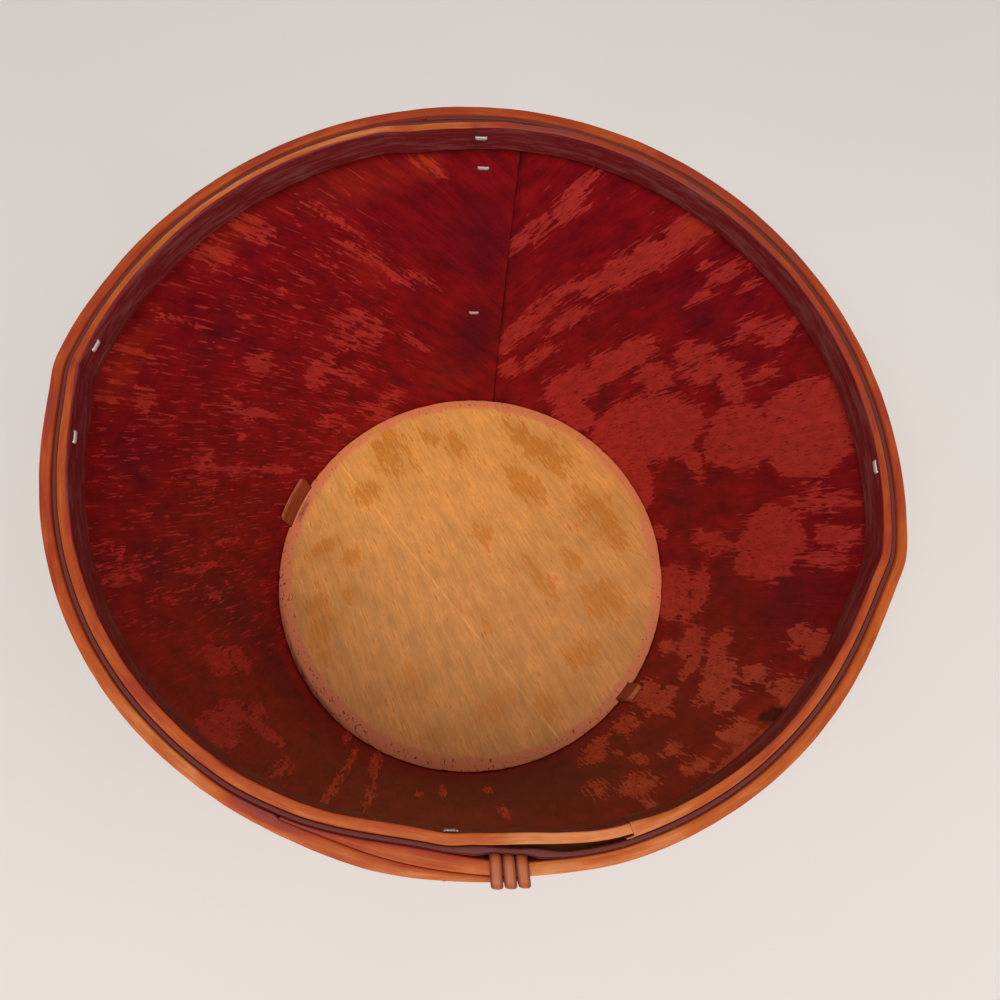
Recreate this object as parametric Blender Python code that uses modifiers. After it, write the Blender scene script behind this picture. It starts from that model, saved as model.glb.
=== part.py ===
"""A veneer measuring basket: one rolled wall sheet, a round board, two rim hoops and their fastenings.

Units are metres and degrees. The origin is the middle of the board's underside, +Z is up, and the
lap of the outer hoop faces -Y. Azimuths run anticlockwise from +X, seen from above. At its rim the
basket is out of round: it has been squeezed from front to back, and both hoops have kinked.
"""

import math

import bmesh
import bpy
from mathutils import Matrix, Vector

# Fits
GAP = 0.0003
LASH_GAP = 0.0004

# Board
BOARD_RADIUS = 0.1037
BOARD_THICK = 0.011
BOARD_BORDER = 0.0065
BOARD_BORDER_DROP = 0.0007
BOARD_SIDES = 96

# Wall sheet
INSIDE_DEPTH = 0.1804
WALL_THICK = 0.0016
WALL_TOP_DROP = 0.0008
WALL_ROWS = 4
SEAM_AZIMUTH = 82.5
SEAM_SLANT = 1.9
SEAM_OVERLAP = 15.0
SEAM_EASE = 9.0
SKIVE_THICK = 0.0005
SKIVE_LENGTH = 8.5

# Shape of the rim, on the outer face of the outer hoop
RIM_RADIUS = 0.1494
RIM_LEAN_RIGHT = 0.00485
RIM_LEAN_BACK = 0.0011
RIM_SQUEEZE = 0.0033
RIM_SQUEEZE_AZIMUTH = 153.0
RIM_LOBES = 0.001
RIM_LOBES_AZIMUTH = 75.0
KINK_HEIGHT = 0.0038
KINK_AZIMUTHS = (343.5, 168.5)
KINK_STEEP_SIDE = 5.2
KINK_EASY_SIDE = 19.8
KINK_ROUNDING = 1.5
STATION_STEP = 3.0

# Outer hoop, a strip whose two ends lap at the front
OUTER_THICK = 0.004
OUTER_THINNING = 0.0010
OUTER_THIN_AZIMUTH = 5.0
OUTER_THIN_SPREAD = 60.0
OUTER_HEIGHT = 0.013
HOOP_EASE = 0.0006
LAP_HIDDEN_END = 246.0
LAP_OPEN_END = 277.8
LAP_THIN_END = 0.0005
LAP_BLUNT_END = 0.001
LAP_HIDDEN_SCARF = 20.0
LAP_OPEN_SCARF = 27.0
LAP_HIDDEN_RELEASE = 9.0
LAP_OPEN_RELEASE = 13.0
LAP_SWELL = 0.0011
LAP_SWELL_AZIMUTH = 260.0
LAP_SWELL_SPREAD = 20.0
LAP_PROUD = 0.0008
LAP_PROUD_SPREAD = 13.0

# Inner hoop, a strip with one end cut square and the other pared thin behind it
INNER_THICK = 0.0034
INNER_UNEVEN = 0.0007
INNER_THICKEST_AZIMUTH = 205.0
INNER_HEIGHT = 0.0107
SCARF_AZIMUTH = 291.5
SCARF_OVERLAP = 1.0
SCARF_LENGTH = 5.5
SCARF_THIN_END = 0.0005
FRONT_GAP = 0.0011
FREE_AZIMUTH = 272.5
RETURN_AZIMUTH = 276.0

# Cane lashing round the outer hoop's lap
CANE_WIDTH = 0.0031
CANE_THICK = 0.0014
LASH_AZIMUTH = 275.6
LASH_TURNS = 3
LASH_PITCH = 0.0042
LASH_CORNER = 0.0016
LASH_START = 0.5
LASH_TAIL = 0.96
LASH_POINTS = 24
LASH_SIDE = 0.0015
LASH_EASES = (6.0, 5.0)

# Staples of flattened wire, clinched on the outside
STAPLE_WIRE = 0.001
STAPLE_WIDTH = 0.0046
STAPLE_TIP = 0.0015
HOOP_STAPLES = ((88.4, 0.0060), (164.5, 0.0039), (179.7, 0.0036), (268.3, 0.0027), (355.9, 0.0028))
SEAM_STAPLES = ((88.0, 0.0231), (89.6, 0.1103))
HOLE_SIDES = 8

# Nails through the wall into the board's edge
NAIL_COUNT = 8
NAIL_FIRST_AZIMUTH = 22.5
NAIL_HEIGHT = 0.0042
NAIL_SHANK = 0.0007
NAIL_HEAD = 0.0019
NAIL_HEAD_THICK = 0.0005
NAIL_LENGTH = 0.016
NAIL_SIDES = 12

# Wooden keys between board and wall: azimuth, length, thickness, height above the board
KEY_DEPTH = 0.004
KEYS = (
    ("board_key_left", 158.0, 0.0255, 0.0014, 0.0115),
    ("board_key_right", 321.6, 0.0108, 0.0022, 0.0165),
)
KEY_EASE = 0.0003

# Values worked out from those above
RIM_Z = BOARD_THICK + INSIDE_DEPTH
WALL_FOOT_RADIUS = BOARD_RADIUS + GAP + WALL_THICK
MEAN_SLOPE = (RIM_RADIUS - OUTER_THICK - GAP - WALL_FOOT_RADIUS) / INSIDE_DEPTH
LASH_ROOM = CANE_THICK + 2 * LASH_GAP - GAP


def turn_between(azimuth, other):
    """Signed turn from the other azimuth to this one, from -180 to 180 degrees."""
    return (azimuth - other + 180.0) % 360.0 - 180.0


def ramp(value, start, end):
    """0 before start and 1 after end, with a smooth rise between them."""
    share = min(max((value - start) / (end - start), 0.0), 1.0)
    return share * share * (3.0 - 2.0 * share)


def swell(azimuth, centre, spread):
    """A smooth bump of height 1 at the centre, and 0 from the spread outwards."""
    share = min(abs(turn_between(azimuth, centre)) / spread, 1.0)
    return 0.5 + 0.5 * math.cos(math.pi * share)


def kink(turn):
    """An outward kink, steep on its negative side."""
    side = KINK_STEEP_SIDE if turn < 0 else KINK_EASY_SIDE
    return KINK_HEIGHT * math.exp(-(math.hypot(turn, KINK_ROUNDING) - KINK_ROUNDING) / side)


def rim_radius(azimuth):
    """Radius of the outer hoop's outer face at the top of the rim."""
    radius = RIM_RADIUS
    radius += RIM_SQUEEZE * math.cos(2 * math.radians(azimuth - RIM_SQUEEZE_AZIMUTH))
    radius += RIM_LOBES * math.cos(3 * math.radians(azimuth - RIM_LOBES_AZIMUTH))
    radius += kink(turn_between(azimuth, KINK_AZIMUTHS[0]))
    radius += kink(turn_between(KINK_AZIMUTHS[1], azimuth))
    return radius + LAP_PROUD * swell(azimuth, LAP_SWELL_AZIMUTH, LAP_PROUD_SPREAD)


def strip_thickness(azimuth):
    """Thickness of the outer hoop's strip away from its pared ends; it is thickest at the lap."""
    thick = OUTER_THICK - OUTER_THINNING * swell(azimuth, OUTER_THIN_AZIMUTH, OUTER_THIN_SPREAD)
    return thick + LAP_SWELL * swell(azimuth, LAP_SWELL_AZIMUTH, LAP_SWELL_SPREAD)


def inner_thickness(azimuth):
    """Thickness of the inner hoop, which was riven unevenly."""
    return INNER_THICK + INNER_UNEVEN * math.cos(math.radians(azimuth - INNER_THICKEST_AZIMUTH))


def lap_outer_layer(azimuth):
    """Thickness of the outer of the two layers of the lap, pared towards its open end."""
    pared = max(azimuth - LAP_OPEN_END + LAP_OPEN_SCARF, 0.0) / LAP_OPEN_SCARF
    return strip_thickness(azimuth) - (strip_thickness(azimuth) - LAP_BLUNT_END) * pared**1.5


def lap_inner_layer(azimuth):
    """Thickness of the inner of the two layers of the lap, thin at its hidden end."""
    grown = ramp(azimuth, LAP_HIDDEN_END, LAP_HIDDEN_END + LAP_HIDDEN_SCARF)
    return LAP_THIN_END + (strip_thickness(azimuth) - LAP_THIN_END) * grown


def open_step(azimuth):
    """How far the strip lies inside the rim's outline where it comes out from under the open end."""
    return (LAP_BLUNT_END + GAP) * (1.0 - ramp(azimuth, LAP_OPEN_END, LAP_OPEN_END + LAP_OPEN_RELEASE))


def hoop_depth(azimuth):
    """Distance from the rim's outermost face in to the outer hoop's inner face."""
    azimuth = azimuth % 360.0
    if azimuth < LAP_HIDDEN_END:
        lift = ramp(azimuth, LAP_HIDDEN_END - LAP_HIDDEN_RELEASE, LAP_HIDDEN_END)
        return strip_thickness(azimuth) + (LAP_THIN_END + GAP) * lift
    if azimuth <= LAP_OPEN_END:
        return lap_outer_layer(azimuth) + GAP + lap_inner_layer(azimuth)
    return strip_thickness(azimuth) + open_step(azimuth)


def lash_half_angle():
    """Half of the arc over which the wall stands clear for the lashing's turns, in degrees."""
    half_width = ((LASH_TURNS - 1) * LASH_PITCH + CANE_WIDTH) / 2
    return math.degrees((half_width + LASH_SIDE) / RIM_RADIUS)


def lash_room(azimuth):
    """Room between the wall and the outer hoop for the cane, eased off on both sides of it."""
    turn = turn_between(azimuth, LASH_AZIMUTH)
    ease = LASH_EASES[0] if turn < 0 else LASH_EASES[1]
    return LASH_ROOM * (1.0 - ramp(abs(turn), lash_half_angle(), lash_half_angle() + ease))


def wall_inset(azimuth):
    """Distance from the rim's outermost face in to the wall's outer face."""
    return hoop_depth(azimuth) + GAP + lash_room(azimuth)


def skived(azimuth):
    """Thickness of the sheet's inner end, pared thin towards its edge."""
    return SKIVE_THICK + (WALL_THICK - SKIVE_THICK) * ramp(azimuth, SEAM_AZIMUTH, SEAM_AZIMUTH + SKIVE_LENGTH)


def seam_step(azimuth):
    """How far the lapped seam pushes the inner hoop inwards."""
    azimuth = azimuth % 360.0
    if azimuth < SEAM_AZIMUTH:
        return (SKIVE_THICK + GAP) * ramp(azimuth, SEAM_AZIMUTH - SEAM_EASE, SEAM_AZIMUTH - 1.0)
    end = SEAM_AZIMUTH + SEAM_OVERLAP
    return (skived(azimuth) + GAP) * (1.0 - ramp(azimuth, end + 1.0, end + SEAM_EASE))


def height_share(z):
    """0 at and below the board's top, 1 at the rim."""
    return max((z - BOARD_THICK) / INSIDE_DEPTH, 0.0)


def wall_radius(azimuth, z):
    """Radius of the wall's outer face about the basket's axis at this height."""
    if z <= BOARD_THICK:
        return WALL_FOOT_RADIUS - MEAN_SLOPE * (BOARD_THICK - z)
    share = height_share(z)
    return (1 - share) * WALL_FOOT_RADIUS + share * (rim_radius(azimuth) - wall_inset(azimuth))


def place(azimuth, z, offset):
    """The point that lies this far outside the wall's outer face."""
    radius = wall_radius(azimuth, z) + offset
    angle = math.radians(azimuth)
    x = RIM_LEAN_RIGHT * height_share(z) + radius * math.cos(angle)
    y = RIM_LEAN_BACK * height_share(z) + radius * math.sin(angle)
    return Vector((x, y, z))


def stations(start, end):
    """Azimuths from start to end: both ends, and the multiples of the step between them."""
    inner = []
    azimuth = (math.floor(start / STATION_STEP) + 1) * STATION_STEP
    while azimuth < end:
        if azimuth - start > STATION_STEP / 4 and end - azimuth > STATION_STEP / 4:
            inner.append(azimuth)
        azimuth += STATION_STEP
    return [start, *inner, end]


def material(name, colour, roughness, metallic=0.0):
    """A Principled material of one colour, given as sRGB shares."""
    made = bpy.data.materials.new(name)
    made.use_nodes = True
    linear = [(c / 12.92 if c <= 0.04045 else ((c + 0.055) / 1.055) ** 2.4) for c in colour]
    shader = made.node_tree.nodes["Principled BSDF"]
    shader.inputs["Base Color"].default_value = (*linear, 1.0)
    shader.inputs["Roughness"].default_value = roughness
    shader.inputs["Metallic"].default_value = metallic
    made.diffuse_color = (*linear, 1.0)
    return made


def new_object(name, mesh, collection, finish=None, smooth=True):
    """Links a mesh as an object of its own."""
    made = bpy.data.objects.new(name, mesh)
    collection.objects.link(made)
    if finish:
        mesh.materials.append(finish)
    if smooth:
        mesh.shade_smooth()
        mesh.set_sharp_from_angle(angle=math.radians(35))
    return made


def new_helper(name, mesh, collection):
    """Links a mesh that only cuts, so it isn't rendered."""
    made = new_object(name, mesh, collection, smooth=False)
    made.hide_render = True
    made.display_type = "WIRE"
    return made


def mesh_from(bm, name):
    """Turns a bmesh into a mesh with its faces pointing out."""
    bm.normal_update()
    bmesh.ops.recalc_face_normals(bm, faces=bm.faces[:])
    mesh = bpy.data.meshes.new(name)
    bm.to_mesh(mesh)
    bm.free()
    return mesh


def bent_lath(name, lengths, sides, levels, bend):
    """A square lath cut into a grid, then bent: each corner goes to bend(length, side, level)."""
    bm = bmesh.new()
    bmesh.ops.create_cube(bm, size=1.0, matrix=Matrix.Translation((0.5, 0.5, 0.5)))
    counts = (lengths - 1, sides - 1, levels - 1)
    for axis, count in enumerate(counts):
        for cut in range(1, count):
            plane = Vector((0, 0, 0))
            plane[axis] = cut / count
            normal = Vector((0, 0, 0))
            normal[axis] = 1.0
            everything = bm.verts[:] + bm.edges[:] + bm.faces[:]
            bmesh.ops.bisect_plane(bm, geom=everything, dist=1e-6, plane_co=plane, plane_no=normal)
    for vert in bm.verts:
        vert.co = bend(*(round(vert.co[axis] * counts[axis]) for axis in range(3)))
    return mesh_from(bm, name)


def make_wall(collection, finish):
    """The wall: one sheet of veneer rolled into a cone, its pared end lying inside the other one."""
    start = SEAM_AZIMUTH
    end = SEAM_AZIMUTH + SEAM_OVERLAP
    azimuths = stations(start, end + 360.0)
    top = RIM_Z - WALL_TOP_DROP
    heights = [0.0, BOARD_THICK]
    heights += [BOARD_THICK + (top - BOARD_THICK) * (row + 1) / WALL_ROWS for row in range(WALL_ROWS)]

    def bend(length, side, level):
        azimuth = azimuths[length]
        z = heights[level]
        share = height_share(z)
        thick, offset = WALL_THICK, 0.0
        if azimuth <= end:
            thick = skived(azimuth)
            offset = thick - WALL_THICK - (thick + GAP) * share
        elif azimuth < end + SEAM_EASE:
            offset = -(WALL_THICK + GAP) * share * (1.0 - ramp(azimuth, end + 0.5, end + SEAM_EASE))
        elif azimuth > start + 360.0 - SEAM_EASE:
            lift = ramp(azimuth, start + 360.0 - SEAM_EASE, start + 359.0)
            offset = (skived(azimuth - 360.0) + GAP) * (1.0 - share) * lift
        if length == 0:
            azimuth += SEAM_SLANT * (0.5 - share)
        return place(azimuth, z, offset - thick * side)

    mesh = bent_lath("wall_sheet", len(azimuths), 2, len(heights), bend)
    return new_object("wall_sheet", mesh, collection, finish)


def hoop_corner(side, level, height):
    """Share of the thickness and height of one corner of a hoop's section, its edges eased."""
    across = (0.0, 0.2, 0.8, 1.0)[side]
    z = RIM_Z - height * (1 - level)
    if side in (0, 3):
        z += HOOP_EASE if level == 0 else -HOOP_EASE
    return across, z


def make_outer_hoop(collection, finish):
    """The outer hoop: its hidden end starts inside the lap, and it runs once round and a bit more."""
    azimuths = stations(LAP_HIDDEN_END, LAP_OPEN_END + 360.0)

    def bend(length, side, level):
        azimuth = azimuths[length]
        across, z = hoop_corner(side, level, OUTER_HEIGHT)
        thick, inset = strip_thickness(azimuth), 0.0
        if azimuth <= LAP_OPEN_END:
            thick, inset = lap_inner_layer(azimuth), lap_outer_layer(azimuth) + GAP
        elif azimuth < LAP_OPEN_END + LAP_OPEN_RELEASE:
            inset = open_step(azimuth)
        elif azimuth > LAP_HIDDEN_END + 360.0:
            thick = lap_outer_layer(azimuth - 360.0)
        return place(azimuth, z, wall_inset(azimuth) - inset - thick * across)

    mesh = bent_lath("outer_hoop", len(azimuths), 4, 2, bend)
    return new_object("outer_hoop", mesh, collection, finish)


def inner_hoop_offset(azimuth):
    """Offset of the inner hoop's outer face from the wall's; its strip starts at the scarf.

    It lies against the wall as far as the lashing, and from there runs free to its square-cut end.
    """
    run = azimuth if azimuth >= SCARF_AZIMUTH - SCARF_OVERLAP else azimuth + 360.0
    if run <= FREE_AZIMUTH + 360.0:
        return -(WALL_THICK + GAP + seam_step(run))
    first = wall_inset(FREE_AZIMUTH) + WALL_THICK + GAP
    last = wall_inset(SCARF_AZIMUTH) + WALL_THICK + GAP + FRONT_GAP
    inset = first + (last - first) * ramp(run, RETURN_AZIMUTH + 360.0, SCARF_AZIMUTH + 360.0)
    return wall_inset(run) - inset


def make_inner_hoop(collection, finish):
    """The inner hoop: it starts thin behind its own square-cut end, and runs once round."""
    start = SCARF_AZIMUTH - SCARF_OVERLAP
    azimuths = stations(start, SCARF_AZIMUTH + 360.0)

    def bend(length, side, level):
        azimuth = azimuths[length]
        across, z = hoop_corner(side, level, INNER_HEIGHT)
        pared = 1.0 - ramp(azimuth, start + SCARF_OVERLAP, start + SCARF_LENGTH)
        thick = inner_thickness(azimuth)
        thick -= (thick - SCARF_THIN_END) * pared
        return place(azimuth, z, inner_hoop_offset(azimuth) - thick * across)

    mesh = bent_lath("inner_hoop", len(azimuths), 4, 2, bend)
    return new_object("inner_hoop", mesh, collection, finish)


def turned(name, profile, sides):
    """A mesh turned about Z from a profile that runs down its outer side."""
    mesh = bpy.data.meshes.new(name)
    mesh.from_pydata([(x, 0.0, z) for x, z in profile], [(i, i + 1) for i in range(len(profile) - 1)], [])
    guide = bpy.data.objects.new(name, mesh)
    bpy.context.scene.collection.objects.link(guide)
    screw = guide.modifiers.new("turn", "SCREW")
    screw.steps = screw.render_steps = sides
    screw.use_merge_vertices = True
    screw.merge_threshold = 0.00001
    bpy.context.view_layer.update()
    graph = bpy.context.evaluated_depsgraph_get()
    made = bpy.data.meshes.new_from_object(guide.evaluated_get(graph))
    made.name = name
    bpy.data.objects.remove(guide)
    return made


def make_board(collection, finish, cutters):
    """The board: a disc turned with a shallow sloping border and an edge that leans with the wall."""
    foot = BOARD_RADIUS - MEAN_SLOPE * BOARD_THICK
    edge_z = BOARD_THICK - BOARD_BORDER_DROP
    profile = [
        (0.0, BOARD_THICK),
        (BOARD_RADIUS - BOARD_BORDER, BOARD_THICK),
        (BOARD_RADIUS - MEAN_SLOPE * BOARD_BORDER_DROP, edge_z),
        (foot, 0.0),
        (0.0, 0.0),
    ]
    made = new_object("bottom_board", turned("bottom_board", profile, BOARD_SIDES), collection, finish)
    for cutter in cutters:
        cut(made, cutter)
    return made


def cut(target, cutter):
    """Takes the cutter's shape out of the target."""
    boolean = target.modifiers.new(cutter.name, "BOOLEAN")
    boolean.operation = "DIFFERENCE"
    boolean.solver = "EXACT"
    boolean.object = cutter


def wall_frame(azimuth, z, offset=0.0):
    """A frame on the wall: X along the rim, Y straight out of the wall, Z up its slope."""
    origin = place(azimuth, z, offset)
    step = 0.5
    along = (place(azimuth - step, z, offset) - place(azimuth + step, z, offset)).normalized()
    rise = 0.002
    up = (place(azimuth, z + rise, offset) - place(azimuth, z - rise, offset)).normalized()
    out = up.cross(along).normalized()
    up = along.cross(out).normalized()
    frame = Matrix((along, out, up)).transposed().to_4x4()
    frame.translation = origin
    return frame


def staple_span(azimuth, z, inner_offset, outer_offset):
    """The staple's frame, and how far its crown and its clinched tips lie from it."""
    frame = wall_frame(azimuth, z)
    inverse = frame.inverted()
    half_turn = math.degrees(STAPLE_WIDTH / 2 / wall_radius(azimuth, z))
    inner, outer = [], []
    for turn in (-half_turn, 0.0, half_turn):
        inner.append((inverse @ place(azimuth + turn, z, inner_offset(azimuth + turn))).y)
        outer.append((inverse @ place(azimuth + turn, z, outer_offset(azimuth + turn))).y)
    clear = GAP + STAPLE_WIRE / 2
    return frame, min(inner) - clear, max(outer) + clear


def tube(name, points, radius, resolution, collection, finish):
    """A round wire through the points, as a mesh with welded caps."""
    curve = bpy.data.curves.new(name, "CURVE")
    curve.dimensions = "3D"
    curve.bevel_depth = radius
    curve.bevel_resolution = resolution
    curve.use_fill_caps = True
    spline = curve.splines.new("POLY")
    spline.points.add(len(points) - 1)
    for point, target in zip(spline.points, points):
        point.co = (*target, 1.0)
    guide = bpy.data.objects.new(name, curve)
    collection.objects.link(guide)
    bpy.context.view_layer.update()
    graph = bpy.context.evaluated_depsgraph_get()
    mesh = bpy.data.meshes.new_from_object(guide.evaluated_get(graph))
    bpy.data.objects.remove(guide)
    bpy.data.curves.remove(curve)
    bm = bmesh.new()
    bm.from_mesh(mesh)
    bmesh.ops.remove_doubles(bm, verts=bm.verts[:], dist=radius / 100)
    bpy.data.meshes.remove(mesh)
    return new_object(name, mesh_from(bm, name), collection, finish)


def make_staple(name, span, collection, finish):
    """One staple: a crown on the inside, two legs through the layers, and both tips bent together."""
    frame, crown, tips = span
    half = STAPLE_WIDTH / 2
    turned_in = half - STAPLE_TIP
    points = [
        (-turned_in, tips, 0.0),
        (-half, tips, 0.0),
        (-half, crown, 0.0),
        (half, crown, 0.0),
        (half, tips, 0.0),
        (turned_in, tips, 0.0),
    ]
    made = tube(name, points, STAPLE_WIRE / 2, 1, collection, finish)
    made.matrix_world = frame
    return made


def hoop_staple_spans():
    """Where each staple of the rim lies: it holds both hoops to the wall."""
    spans = []
    for azimuth, drop in HOOP_STAPLES:
        inner = lambda a: inner_hoop_offset(a) - inner_thickness(a)
        spans.append(staple_span(azimuth, RIM_Z - drop, inner, wall_inset))
    return spans


def seam_staple_spans():
    """Where each staple of the seam lies: it holds the two layers of the wall together."""
    spans = []
    for azimuth, depth in SEAM_STAPLES:
        share = height_share(RIM_Z - depth)
        inner = lambda a, share=share: -WALL_THICK - (skived(a) + GAP) * share
        outer = lambda a, share=share: (skived(a) + GAP) * (1.0 - share)
        spans.append(staple_span(azimuth, RIM_Z - depth, inner, outer))
    return spans


def rod(bm, frame, start, end, radius, sides):
    """Adds a capped cylinder along the frame's Y axis."""
    length = end - start
    middle = Matrix.Translation((0.0, (start + end) / 2, 0.0))
    lie = Matrix.Rotation(math.radians(90), 4, "X")
    bmesh.ops.create_cone(
        bm, cap_ends=True, segments=sides, radius1=radius, radius2=radius, depth=length, matrix=frame @ middle @ lie
    )


def make_staple_holes(spans, collection):
    """The holes for all the staples' legs."""
    bm = bmesh.new()
    reach = STAPLE_WIRE
    for frame, crown, tips in spans:
        for side in (-1, 1):
            leg = frame @ Matrix.Translation((side * STAPLE_WIDTH / 2, 0.0, 0.0))
            rod(bm, leg, crown - reach, tips + reach, STAPLE_WIRE / 2 + GAP, HOLE_SIDES)
    return new_helper("staple_holes", mesh_from(bm, "staple_holes"), collection)


def nail_frames():
    """A frame for each nail on the wall's outer face, clear of the seam."""
    step = 360.0 / NAIL_COUNT
    return [wall_frame(NAIL_FIRST_AZIMUTH + step * k, NAIL_HEIGHT) for k in range(NAIL_COUNT)]


def make_nail_holes(frames, collection):
    """The holes that the nails' shanks fill, through the wall and into the board."""
    bm = bmesh.new()
    for frame in frames:
        rod(bm, frame, -NAIL_LENGTH - 2 * GAP, NAIL_HEAD, NAIL_SHANK + GAP, HOLE_SIDES)
    return new_helper("nail_holes", mesh_from(bm, "nail_holes"), collection)


def make_nails(frames, collection, finish):
    """Wire nails with flat heads, each seated on the wall."""
    point = NAIL_LENGTH - 3 * NAIL_SHANK
    profile = [
        (0.0, GAP + NAIL_HEAD_THICK),
        (NAIL_HEAD, GAP + NAIL_HEAD_THICK),
        (NAIL_HEAD, GAP),
        (NAIL_SHANK, GAP),
        (NAIL_SHANK, -point),
        (0.0, -NAIL_LENGTH),
    ]
    upright = turned("board_nail", profile, NAIL_SIDES)
    for number, frame in enumerate(frames, start=1):
        made = new_object(f"board_nail_{number}", upright.copy(), collection, finish)
        made.matrix_world = frame @ Matrix.Rotation(math.radians(-90), 4, "X")


def key_mesh(name, azimuth, length, thick, height, grow):
    """A key bent to the wall, or its notch in the board where grow is the clearance round it."""
    half_turn = math.degrees((length / 2 + grow) / BOARD_RADIUS)
    azimuths = stations(azimuth - half_turn, azimuth + half_turn)
    floor = BOARD_THICK - KEY_DEPTH - grow
    levels = (floor, BOARD_THICK + height + grow)
    back = 0.0 if grow else -WALL_THICK - GAP
    front = -WALL_THICK - GAP - thick - grow

    def bend(along, side, level):
        return place(azimuths[along], levels[level], front if side else back)

    return bent_lath(name, len(azimuths), 2, 2, bend)


def make_key_notches(collection):
    """The notches that the keys sit in, one cutter each."""
    cutters = []
    for name, *sizes in KEYS:
        name = name + "_notch"
        cutters.append(new_helper(name, key_mesh(name, *sizes, GAP), collection))
    return cutters


def make_keys(collection, finish):
    """Slips of wood wedged between the board and the wall, standing up along the wall."""
    for name, *sizes in KEYS:
        made = new_object(name, key_mesh(name, *sizes, 0.0), collection, finish)
        ease = made.modifiers.new("eased_edges", "BEVEL")
        ease.width = KEY_EASE
        ease.segments = 1
        ease.limit_method = "ANGLE"


def section_point(index, half_width, half_height):
    """One of the points round the hoop's section: a quarter of them at each corner, from below outside."""
    points = LASH_POINTS // 4
    quarter, step = divmod(index, points)
    angle = math.radians(90.0 * (quarter - 1) + 90.0 * step / (points - 1))
    side = 1 if quarter % 4 in (0, 1) else -1
    level = 1 if quarter % 4 in (1, 2) else -1
    across = side * (half_width - LASH_CORNER) + LASH_CORNER * math.cos(angle)
    rise = level * (half_height - LASH_CORNER) + LASH_CORNER * math.sin(angle)
    return across, rise


def lashing_route():
    """Points of the cane, which steps along the rim only where it passes under the hoop.

    Each turn goes up the hoop's outer face, over its top and down between hoop and wall.
    """
    near = LASH_GAP + CANE_THICK / 2
    half_height = OUTER_HEIGHT / 2 + near
    points = []
    for turn in range(-1, LASH_TURNS + 1):
        along = LASH_PITCH * ((LASH_TURNS - 1) / 2 - turn)
        azimuth = LASH_AZIMUTH + math.degrees(along / RIM_RADIUS)
        half_width = wall_inset(azimuth) / 2
        for index in range(LASH_POINTS):
            across, rise = section_point(index, half_width, half_height)
            points.append(place(azimuth, RIM_Z - OUTER_HEIGHT / 2 + rise, near + half_width + across))
    start = points[LASH_POINTS - 1].lerp(points[LASH_POINTS], LASH_START)
    tail = points[-LASH_POINTS - 1].lerp(points[-LASH_POINTS], LASH_TAIL)
    return [start, *points[LASH_POINTS:-LASH_POINTS], tail]


def make_lashing(collection, finish):
    """Flat cane wound round the lap: a round tube stretched along the rim to the cane's width."""
    frame = wall_frame(LASH_AZIMUTH, RIM_Z - OUTER_HEIGHT / 2)
    route = [frame.inverted() @ point for point in lashing_route()]
    print(f"least gap of the cane to itself: {least_gap(route) * 1000:.2f} mm")
    wide = Matrix.Diagonal((CANE_WIDTH / CANE_THICK, 1.0, 1.0, 1.0))
    narrow = wide.inverted()
    made = tube("cane_lashing", [narrow @ point for point in route], CANE_THICK / 2, 1, collection, finish)
    made.data.transform(wide)
    made.matrix_world = frame
    return made


def least_gap(route):
    """Least clear distance between stretches of the cane half a turn or more apart."""
    least = math.inf
    apart = LASH_POINTS // 2
    for i, point in enumerate(route):
        for other in route[i + apart :]:
            along = abs(point.x - other.x) - CANE_WIDTH
            across = math.hypot(point.y - other.y, point.z - other.z) - CANE_THICK
            least = min(least, max(along, across))
    return least


def main():
    for old in list(bpy.data.objects):
        bpy.data.objects.remove(old)
    scene = bpy.context.scene
    scene.unit_settings.system = "METRIC"
    basket = bpy.data.collections.new("veneer_basket")
    cutters = bpy.data.collections.new("cutters")
    scene.collection.children.link(basket)
    scene.collection.children.link(cutters)

    paint = material("red_stained_veneer", (0.42, 0.09, 0.07), 0.45)
    bare = material("bare_board_wood", (0.80, 0.58, 0.34), 0.6)
    strip = material("varnished_hoop_wood", (0.70, 0.35, 0.16), 0.4)
    slip = material("reddened_key_wood", (0.62, 0.36, 0.22), 0.6)
    cane = material("split_cane", (0.72, 0.50, 0.32), 0.45)
    steel = material("tinned_steel_wire", (0.75, 0.74, 0.72), 0.35, 1.0)

    rim_spans = hoop_staple_spans()
    seam_spans = seam_staple_spans()
    nails = nail_frames()
    staple_holes = make_staple_holes(rim_spans + seam_spans, cutters)
    nail_holes = make_nail_holes(nails, cutters)
    notches = make_key_notches(cutters)

    wall = make_wall(basket, paint)
    cut(wall, staple_holes)
    cut(wall, nail_holes)
    cut(make_outer_hoop(basket, strip), staple_holes)
    cut(make_inner_hoop(basket, strip), staple_holes)
    make_board(basket, bare, [nail_holes, *notches])
    make_keys(basket, slip)
    make_lashing(basket, cane)
    make_nails(nails, basket, steel)
    for number, span in enumerate(rim_spans, start=1):
        make_staple(f"hoop_staple_{number}", span, basket, steel)
    for number, span in enumerate(seam_spans, start=1):
        make_staple(f"seam_staple_{number}", span, basket, steel)


main()
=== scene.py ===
"""A veneer measuring basket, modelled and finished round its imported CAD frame.

Units are metres and degrees, in the frame's own axes: +Z up, the middle of the board's underside at
the origin, and the hoop's lap facing -Y. Azimuths run anticlockwise from +X, seen from above. Wood
patterns are drawn in millimetres, in the flat shape that each piece of wood had before it was bent.
"""

import math

import bpy
from bpy.props import FloatProperty, FloatVectorProperty, IntProperty, PointerProperty
from bpy.types import Operator, Panel, PropertyGroup
from mathutils import Matrix, Vector, noise


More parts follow.
